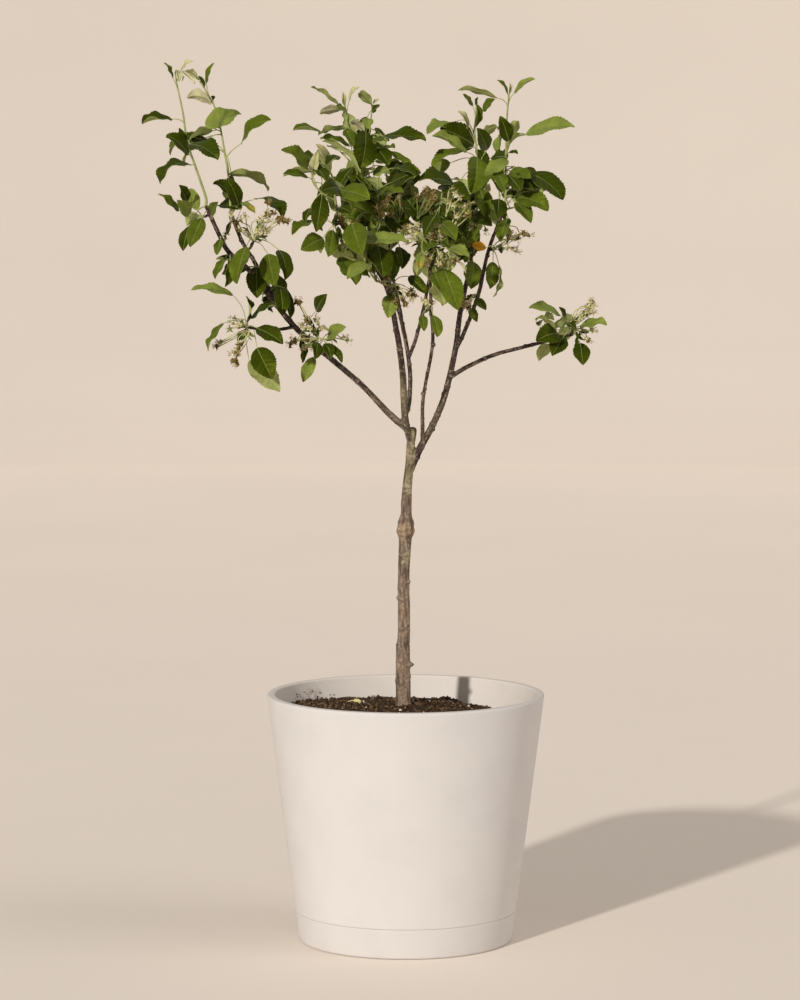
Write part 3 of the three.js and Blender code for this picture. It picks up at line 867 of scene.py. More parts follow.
class Skin:
    """The points of the wood's mesh, with what the bark's pattern needs to know at each of them."""

    def __init__(self, mesh, lines):
        self.mesh = mesh
        self.points, self.normals = self.read("co"), self.read("normal")
        self.heights = self.points[:, 2].copy()  # these stay as they are before the relief
        self.on_trunk = share_on_trunk(self.points, lines["trunk"])
        self.on_boughs = 1 - self.on_trunk
        self.follow_limbs(lines)
        self.fine = noise_at(self.points, 620.0)
        self.middling = noise_at(self.points, 260.0, 7.0)
        self.broad = noise_at(self.points, 70.0, 3.0)
        self.warts = noise_at(self.points, 190.0, 5.0)
        self.scars = self.ring_scars()
        self.buds = self.bud_bumps(lines)
        self.lip, self.groove_and_shade = self.scar_lines()
        self.pit = self.near(*PIT)
        self.hole = sum(self.near(*hole) for hole in HOLES)

    def read(self, field):
        values = np.zeros(len(self.mesh.vertices) * 3)
        self.mesh.vertices.foreach_get(field, values)
        return values.reshape(-1, 3)

    def near(self, place, size):
        """1 at the place that shows at that pixel and depth, falling to nothing round it."""
        return near_place(self.points, seen(*place), size)

    def follow_limbs(self, lines):
        """The limb's direction at each point, and streaks and rings that run along and round the limb."""
        routes = [route for route, _ in lines.values()]
        samples = np.vstack(routes)
        tangents = np.vstack([np.gradient(route, axis=0) for route in routes])
        tangents /= np.linalg.norm(tangents, axis=1)[:, None]
        lengths = [np.arange(len(route)) * LIMB_STEP + kind for kind, route in enumerate(routes)]
        kinds = [np.full(len(route), kind) for kind, route in enumerate(routes)]
        nearest = nearest_samples(samples, self.points)
        self.tangents = tangents[nearest]
        length, kind = np.concatenate(lengths)[nearest], np.concatenate(kinds)[nearest]
        radius = np.concatenate([radii for _, radii in lines.values()])[nearest]
        outward = self.points - samples[nearest]
        outward -= self.tangents * np.sum(outward * self.tangents, 1)[:, None]
        outward /= np.maximum(np.linalg.norm(outward, axis=1), 1e-9)[:, None]
        streak_place = outward * radius[:, None] * 300 + (length * 58)[:, None] * np.array((0.4, 0.5, 0.77))
        self.streaks = noise_at(streak_place, 1.0)
        self.rings = noise_at(np.stack((length * 190, kind * 3.1, length * 0), 1), 1.0)

    def ring_scars(self):
        """Narrow rings round the boughs, where an older year's growth ended."""
        scars = np.zeros(len(self.points))
        for place in RING_SCARS:
            away = self.points - np.array(place)
            near = np.exp(-(np.linalg.norm(away, axis=1) / RING_REACH) ** 4)
            scars += near * hump(np.sum(away * self.tangents, 1), 0, RING_WIDTH)
        return np.minimum(scars, 1)

    def bud_bumps(self, lines):
        """Buds along the boughs, each turned on from the one before."""
        buds = np.zeros(len(self.points))
        rng = random.Random(5)
        for route, sizes in list(lines.values())[1:]:
            place = BUD_START
            turn = rng.uniform(0, 6.28)
            while place < len(route) - BUD_END:
                ahead = route[place + 1] - route[place]
                side = square_to(np.array((math.cos(turn), math.sin(turn), 0.2)), ahead)
                away = self.points - (route[place] + side * sizes[place] * 1.05)
                lengthways = away @ unit(ahead)
                square = np.sum(away * away, 1) - lengthways ** 2
                buds += np.exp(-square / BUD_WIDTH ** 2 - (lengthways / BUD_LENGTH) ** 2)
                place += rng.randint(*BUD_STEPS)
                turn += BUD_TURN
        return np.minimum(buds, 1) * self.on_boughs

    def scar_lines(self):
        """The raised lips of the short scars, painted paler as a highlight, and the grooves below them,
        painted dark as the shade under the lips.
        """
        lip, groove_and_shade = np.zeros(len(self.points)), np.zeros(len(self.points))
        for start, end in SCAR_LINES:
            start, end = seen(*start), seen(*end)
            for share in np.linspace(0, 1, LIP_SPOTS):
                spot = start + (end - start) * share
                below = spot - UP * GROOVE_DROP
                lip = np.maximum(lip, near_place(self.points, spot, LIP_SIZE))
                groove_and_shade = np.maximum(groove_and_shade, near_place(self.points, below, GROOVE_SIZE))
        return lip, groove_and_shade

    def raise_relief(self):
        """Pushes the bark's relief out of the mesh."""
        union = hump(self.heights, UNION_HEIGHT, 0.013) * self.on_trunk
        collar = np.abs(self.heights - COLLAR_HEIGHT - 0.05 * self.points[:, 0])
        relief = 0.00052 * self.streaks * (0.35 + 0.65 * self.on_trunk)
        relief += 0.00018 * self.fine
        relief += 0.00026 * self.middling
        relief += 0.00022 * np.maximum(self.rings - 0.25, 0) * self.on_boughs * 2
        relief += union * (0.0012 * self.warts + 0.0006 * self.middling)
        relief += self.on_trunk * 0.0005 * smoothstep(0.0115, 0.0085, collar)
        relief += 0.00075 * self.scars
        for place, size, height in KNOBS:
            relief += height * self.near(place, size) ** 1.6
        relief += 0.0011 * self.buds
        relief += 0.0006 * self.lip - 0.0006 * self.groove_and_shade
        relief -= 0.0012 * self.pit + 0.001 * self.hole
        self.points = self.points + self.normals * relief[:, None]
        self.mesh.vertices.foreach_set("co", self.points.ravel())

    def lichen_patches(self):
        rough = smoothstep(-0.15, 0.1, self.middling)
        return [(LICHEN_GREEN, self.near(place, 0.0075) * rough * 0.85) for place in LICHEN]

    def colours(self):
        """The colour at each point, as layers that each lie over the ones before."""
        high, right = self.heights, self.points[:, 0]
        on_trunk, on_boughs = self.on_trunk, self.on_boughs
        streaks, fine, middling, broad = self.streaks, self.fine, self.middling, self.broad
        warty = hump(high, WARTS_HEIGHT, 0.009, 4) * on_trunk
        mottled = 0.5 * middling + 0.35 * broad + 0.35 * streaks
        crack_line = CRACK_HEIGHT + 0.06 * (right - 0.002)
        crack = hump(high, crack_line, 0.0013) * smoothstep(0.0028, 0.0008, right)
        layers = [
            (PURPLE, smoothstep(0.43, 0.47, high) * 0.7),  # below the graft union
            (OCHRE, warty * 0.85),
            (PURPLE, smoothstep(0.527, 0.533, high)),  # above it
            (OLIVE, smoothstep(0.562, 0.584, high + 0.010 * broad + 1.2 * right)),
            (GREY, smoothstep(0.56, 0.58, high) * smoothstep(0.05, 0.4, mottled) * 0.6),
            *self.lichen_patches(),
            (TWIG, on_boughs * (1 - 0.25 * hump(high, 0.66, 0.03))),
            (OLIVE, near_place(self.points, SWELLING, 0.018) * 0.7),
            (BLOOM, on_boughs * smoothstep(0.18, 0.5, streaks + 0.5 * broad) * 0.5),
            (PALE, on_boughs * smoothstep(0.26, 0.5, fine + 0.6 * middling) * 0.4),
            (PALE, on_trunk * smoothstep(0.0, 0.5, streaks + 0.45 * fine + 0.3 * broad) * 0.5),
            (DEEP, on_trunk * smoothstep(0.1, 0.5, 0.4 * middling - streaks) * 0.8),
            (DEEP, on_trunk * smoothstep(0.10, 0.34, fine - 0.4 * middling) * 0.6),
            (DEEP, np.minimum(1, self.pit * 1.6 + self.hole * 1.8)),
            (DEEP, on_trunk * crack * 0.85),
            # painted highlight on the scars' lips, and painted shade in the grooves just below them
            (PALE, self.lip * 0.45),
            (DEEP, self.groove_and_shade * (1 - self.lip) * 0.8),
            (DEEP, np.minimum(1, self.near(*CUT) * 1.3)),
            (BLOOM, self.scars * 0.6),
            (DEEP, self.buds * 0.5),
        ]
        colour = np.tile(np.array(GREY), (len(self.points), 1))
        for layer, share in layers:
            colour = blend(colour, layer, share)
        return np.clip(colour * (1 + 0.3 * middling + 0.2 * fine)[:, None], 0.01, 1)


def add_bark(lines):
    """All the wood as one skin: bark relief is pushed out of it, and it is coloured point by point."""
    skin = Skin(wood_mesh(lines), lines)
    skin.raise_relief()
    tint = skin.mesh.color_attributes.new("tint", "FLOAT_COLOR", "POINT")
    opaque = np.ones((len(skin.points), 1))
    tint.data.foreach_set("color", np.hstack((skin.colours(), opaque)).ravel())
    add_piece("bark", skin.mesh, [bark_material()], ["trunk", *BOUGHS], math.radians(180))


# --- Leaves ---
VEINS = 7
VEIN_ROWS = (0.25, 0.33, 0.58, 0.84)  # where the rows of faces lie between one side vein and the next
VEIN_HEIGHTS = (-0.7, -0.7, 0.8, 0.5)  # how far each of those rows is sunk or raised
ROWS = np.array([0.0] + [(vein + part) / VEINS for vein in range(VEINS) for part in VEIN_ROWS] + [1.0])
COLUMNS = np.array((-1, -0.86, -0.54, -0.22, -0.04, 0.04, 0.22, 0.54, 0.86, 1))
MIDRIB = len(COLUMNS) // 2 - 1
SPINE_STEPS = np.linspace(0, 1, 60)
LEAF_THICKNESS = 0.00028
VEIN_SLANT, VEIN_RELIEF, RIB_HALF_WIDTH, RIB_DEPTH = 0.17, 0.0105, 0.00055, 0.0005
TOOTH_WIDTH, TOOTH_LENGTH, FOOT_HALF_WIDTH = 0.045, 0.010, 0.0002
CUP_CURVE, RIPPLES = 14.0, (11, 14)  # ripples as radians from foot to tip, on the left and on the right
LEAF_PIECES = 3
DARK, MID, LIGHT, YOUNG, UNDER, UNDER_YOUNG, RIB, RUST, DARK_VEIN, MID_VEIN, LIGHT_VEIN = range(11)
# leaf_dark, leaf_mid and leaf_light, and their vein colours, are one leaf colour at three brightnesses:
# partly the leaves' own differences, and partly painted shade and painted light, as the dark tone goes on
# leaves that lie in shade and the light tone on sunlit ones.
LEAF_COLOURS = {
    "leaf_dark": (0.028, 0.041, 0.0015), "leaf_mid": (0.077, 0.105, 0.009),
    "leaf_light": (0.164, 0.202, 0.038), "leaf_young": (0.45, 0.44, 0.22),
    "leaf_under": (0.30, 0.335, 0.115), "leaf_under_young": (0.46, 0.44, 0.26),
    "leaf_rib": (0.16, 0.19, 0.06), "leaf_rust": (0.52, 0.23, 0.012),
    "leaf_dark_vein": (0.046, 0.064, 0.005), "leaf_mid_vein": (0.108, 0.138, 0.015),
    "leaf_light_vein": (0.210, 0.250, 0.045),
}
DOWNY = ("leaf_young", "leaf_under", "leaf_under_young")
SHOOT, LEAF_STALK = range(2)
STALK_COLOURS = {  # colour and roughness
    "shoot_green": ((0.30, 0.33, 0.13), 0.7),
    "leaf_stalk": ((0.34, 0.37, 0.15), 0.6),
}
TONES = {"d": DARK, "m": MID, "l": LIGHT, "y": YOUNG, "r": LIGHT, "o": RUST}
VEIN_TONES = {DARK: DARK_VEIN, MID: MID_VEIN, LIGHT: LIGHT_VEIN, YOUNG: UNDER_YOUNG, RUST: LIGHT}
USUAL_WIDTH, WIDTHS = 0.46, {"n": 0.33, "w": 0.60}  # as shares of the length
FOLD_RANGE, FOLDS = (20, 36), {"f": 18}  # in degrees
ARCH_RANGE, ARCHES = (0.3, 0.9), {"a": 0.8, "c": 1.7, "s": -0.3}
HOOK_RANGE, HOOKS = (0.0, 0.5), {"h": 1.1}
WAVE_RANGE, TWIST_RANGE, WIDTH_DRIFT = (0.018, 0.062), (-0.5, 0.5), (0.94, 1.06)
LEAF_STALK_RADII = (0.00085, 0.0006, 0.00055, 0.00055, 0.0002)
RUST_SHARE = 0.3


def leaf_template():
    """Faces of a leaf and what each one is: blade, side vein or midrib above, and the underside and edge."""
    rows, columns = len(ROWS), len(COLUMNS)
    faces, parts = [], []
    below = rows * columns
    for r in range(rows - 1):
        for c in range(columns - 1):
            a = r * columns + c
            quad = (a, a + 1, a + 1 + columns, a + columns)
            is_vein = r % len(VEIN_ROWS) == 1 and 0 < c < columns - 2
            faces += [quad[:3], (quad[0], quad[2], quad[3])]
            parts += ["rib" if c == MIDRIB else "vein" if is_vein else "blade"] * 2
            faces += [tuple(i + below for i in reversed(corners)) for corners in faces[-2:]]
            parts += ["rib" if c == MIDRIB else "under"] * 2
    for r in range(rows - 1):
        for c, turn in ((0, 1), (columns - 1, -1)):
            a = r * columns + c
            faces.append((a, a + columns, a + columns + below, a + below)[::turn])
            parts.append("under")
    for r, turn in ((0, -1), (rows - 1, 1)):
        for c in range(columns - 1):
            a = r * columns + c
            faces.append((a, a + 1, a + 1 + below, a + below)[::-turn])
            parts.append("under")
    return faces, parts


LEAF_FACES, LEAF_PARTS = leaf_template()


def leaf_spine(arch, hook):
    """Slope, reach and rise of a bent leaf of length 1 at each of its steps."""
    slope = -arch * (SPINE_STEPS - 0.3) - hook * np.clip((SPINE_STEPS - 0.62) / 0.38, 0, 1) ** 2
    steps = len(SPINE_STEPS) - 1
    ahead = np.concatenate(((0.0,), np.cumsum(np.cos(slope[:-1])))) / steps
    rise = np.concatenate(((0.0,), np.cumsum(np.sin(slope[:-1])))) / steps
    return slope, ahead, rise


def leaf_sheet(length, width, fold, wave, rng):
    """The blade laid flat: across and along at each of its points, its cupped height, and its veins."""
    u, w = ROWS[:, None], COLUMNS[None, :]
    swell = np.sin(math.pi * u)
    is_midrib = np.abs(w) < 0.1
    slant = u + VEIN_SLANT * np.abs(w) * swell
    reach = np.clip(slant, 0.004, 0.999)
    outline = np.sin(math.pi * reach ** 0.94) ** (0.60 + rng.uniform(0.14, 0.32) * reach ** 2)
    teeth = np.where(np.arange(len(ROWS)) % 2 == 0, 1.0, -1.0)[:, None] * swell * (np.abs(w) > 0.99)
    half = width / 2 * outline * (1 + TOOTH_WIDTH * teeth) + FOOT_HALF_WIDTH
    rib = RIB_HALF_WIDTH * (1 - 0.75 * u)
    across = np.where(is_midrib, np.sign(w) * rib, w * half)
    between = np.concatenate(((0.0,), np.tile(VEIN_HEIGHTS, VEINS), (0.0,)))[:, None]
    inward = np.sin(math.pi * np.abs(w) ** 0.8)
    veins = VEIN_RELIEF * length * between * inward * swell - RIB_DEPTH * is_midrib
    share = np.clip(slant * 1.25, 0, 1)
    cup = np.abs(across) * math.tan(fold) * share - CUP_CURVE * across * across * share * (0.6 + fold)
    phases = rng.uniform(0, 6.28), rng.uniform(0, 6.28)
    left, right = [np.sin(ripples * slant + phase) for ripples, phase in zip(RIPPLES, phases)]
    ripple = np.where(w < 0, left, right)
    cup += wave * ripple * np.abs(w) ** 2 * swell
    return across, slant, np.clip(slant + TOOTH_LENGTH * teeth, 0, 1), cup, veins


def leaf_blade(length, width, fold, arch, hook, wave, twist, rng):
    """Points of one blade: upper side, then underside, with the stalk's end at the origin."""
    x, slant, reach, cup, veins = leaf_sheet(length, width, fold, wave, rng)
    slope, ahead, rise = leaf_spine(arch, hook)
    angle = np.interp(reach, SPINE_STEPS, slope)
    lean = twist * (slant - 0.3)

    def bent(z):
        across, above = x * np.cos(lean) - z * np.sin(lean), x * np.sin(lean) + z * np.cos(lean)
        y = np.interp(reach, SPINE_STEPS, ahead) * length - above * np.sin(angle)
        height = np.interp(reach, SPINE_STEPS, rise) * length + above * np.cos(angle)
        return np.stack((across, y, height), 2)

    top = bent(cup + veins)
    smooth = bent(cup)
    square = np.cross(np.gradient(smooth, axis=1), np.gradient(smooth, axis=0))
    square /= np.maximum(np.linalg.norm(square, axis=2), 1e-12)[:, :, None]
    under = top - square * LEAF_THICKNESS
    chord = np.array((0.0, ahead[-1], rise[-1])) * length
    return np.vstack((top.reshape(-1, 3), under.reshape(-1, 3))), chord


def look_sum(look, amounts):
    """The sum of the amounts whose letters are in the look."""
    return sum(amounts[letter] for letter in look if letter in amounts)


class Foliage:
    """Gathers the leaves with their stalks, and remembers where each blade is."""

    def __init__(self, seed):
        self.rng = random.Random(seed)
        self.blades = Pile()
        self.stalks = Pile()
        self.middles = []

    def stalk(self, start, end, heading):
        """A leaf stalk from a carrier to the foot of a blade, which it meets in line."""
        span = np.linalg.norm(end - start)
        middle = (start + end) / 2 + UP * 0.12 * span - heading * span * 0.1
        ahead = end + heading * 0.002
        route = smooth_route([start, middle, end, ahead], max(0.003, span / 7))
        self.stalks.add(*tube(route, LEAF_STALK_RADII, 6), LEAF_STALK)

    def blade(self, length, look):
        """A blade of about that length, shaped at random within its look, and its chord."""
        rng = self.rng
        share = look_sum(look, WIDTHS) or USUAL_WIDTH
        width = length * share * rng.uniform(*WIDTH_DRIFT)
        fold = math.radians(rng.uniform(*FOLD_RANGE) + look_sum(look, FOLDS))
        arch = rng.uniform(*ARCH_RANGE) + look_sum(look, ARCHES)
        hook = rng.uniform(*HOOK_RANGE) + look_sum(look, HOOKS)
        wave = length * rng.uniform(*WAVE_RANGE)
        twist = rng.uniform(*TWIST_RANGE)
        return leaf_blade(length, width, fold, arch, hook, wave, twist, rng)

    def face_materials(self, look):
        """The material number of each face. A rusty leaf has specks of rust on its outer half."""
        tone = TONES[look[0]]
        under = UNDER_YOUNG if tone == YOUNG else UNDER
        numbers = {"blade": tone, "vein": VEIN_TONES[tone], "rib": RIB, "under": under}
        materials = [numbers[part] for part in LEAF_PARTS]
        if look[0] == "r":
            outer_half = len(ROWS) * (len(COLUMNS) - 1) * 2  # the faces run from the foot to the tip
            for i, part in enumerate(LEAF_PARTS):
                if i > outer_half and part != "under" and self.rng.random() < RUST_SHARE:
                    materials[i] = RUST
        return materials

    def leaf(self, start, base, tip, face, look, cover=None):
        """One leaf: stalk from start, blade from base to tip, its upper side turned towards face.

        With a cover, the leaf is only added where the cover hides it.
        """
        points, chord = self.blade(np.linalg.norm(tip - base), look)
        size = np.linalg.norm(tip - base) / np.linalg.norm(chord)
        local_ahead = unit(chord)
        local_up = np.cross((1.0, 0.0, 0.0), local_ahead)
        ahead = unit(tip - base)
        up = square_to(face, ahead)
        side = np.cross(ahead, up)
        turn = np.stack((side, ahead, up), 1) @ np.stack(((1.0, 0.0, 0.0), local_ahead, local_up))
        placed = base + size * points @ turn.T
        if cover and not cover.hides(placed, 0.97):
            return False
        self.blades.add(placed, LEAF_FACES, self.face_materials(look))
        first = turn @ unit(points[len(COLUMNS) + MIDRIB] - points[MIDRIB])
        self.stalk(start, base + first * 0.0005, unit(first))
        self.middles.append((base + tip) / 2)
        return True


def facing(chord, degrees):
    """Turns from the viewer (0) over the top (90) to the far side (180), square to the blade."""
    front = square_to(TO_VIEWER, chord)
    side = np.cross(unit(chord), front)
    if side[2] + 0.2 * side[0] < 0:
        side = -side
    angle = math.radians(degrees)
    return front * math.cos(angle) + side * math.sin(angle)


SHOOTS = {  # this year's green growth: the limb that it grows on from, points of its route, radii
    "shoot_left_leader": ("bough_left", (
        (-0.246, -0.070, 0.938), (-0.257, -0.074, 0.972), (-0.268, -0.078, 1.006), (-0.273, -0.082, 1.042),
        (-0.280, -0.085, 1.076), (-0.282, -0.086, 1.090)), (0.0017, 0.0009)),
    "shoot_left_second": ("bough_left_fork", (
        (-0.221, 0.006, 0.960), (-0.227, 0.014, 0.997), (-0.233, 0.020, 1.029), (-0.239, 0.024, 1.049),
        (-0.250, 0.028, 1.069), (-0.259, 0.030, 1.083)), (0.0016, 0.0009)),
    "shoot_right_leader": ("bough_right_fork", (
        (0.124, -0.011, 0.937), (0.124, -0.018, 0.984), (0.125, -0.024, 1.032), (0.127, -0.028, 1.058),
        (0.129, -0.030, 1.076)), (0.0016, 0.0009)),
    "shoot_right_back": ("wood_right_back", (
        seen(478, 187, 0.118), seen(477, 153, 0.124), seen(474, 134, 0.126),
        seen(466, 118, 0.128)), (0.0016, 0.0012, 0.0009)),
    "shoot_centre_back": ("bough_centre_back", (
        seen(362, 190, 0.120), seen(361, 160, 0.117), seen(356, 137, 0.114), seen(348, 126, 0.112),
        seen(345, 104, 0.110), seen(343, 95, 0.110)), (0.0020, 0.0014, 0.0009)),
    "shoot_centre_left": ("bough_centre_front", (
        seen(336, 205, -0.110), seen(333, 179, -0.113), seen(327, 168, -0.115), seen(320, 158, -0.117),
        seen(319, 149, -0.118)), (0.0018, 0.0010)),
    "shoot_front": ("bough_front", (
        seen(434, 246, -0.100), seen(436, 226, -0.094), seen(440, 206, -0.092)), (0.0013, 0.0008)),
    "shoot_inner": ("bough_centre_inner", (
        seen(438, 232, 0.012), seen(441, 202, 0.011), seen(444, 176, 0.010)), (0.0015, 0.0009)),
    "shoot_core": ("bough_centre_core", (
        seen(381, 226, 0.001), seen(378, 200, 0.000), seen(378, 178, 0.002)), (0.0016, 0.0010)),
}
SIDE_SHOOTS = {  # shoots that fork off the shoots above
    "side_right_back": ("shoot_right_back", (seen(475, 124, 0.124), seen(477, 102, 0.124)), (0.0011, 0.0008)),
    "side_centre_back": ("shoot_centre_back", (
        seen(368, 136, 0.108), seen(371, 119, 0.104), seen(372, 104, 0.102)), (0.0012, 0.0008)),
    "side_centre_left": ("shoot_centre_left", (
        seen(321, 192, -0.118), seen(312, 178, -0.121), seen(317, 152, -0.122)), (0.0013, 0.0008)),
}
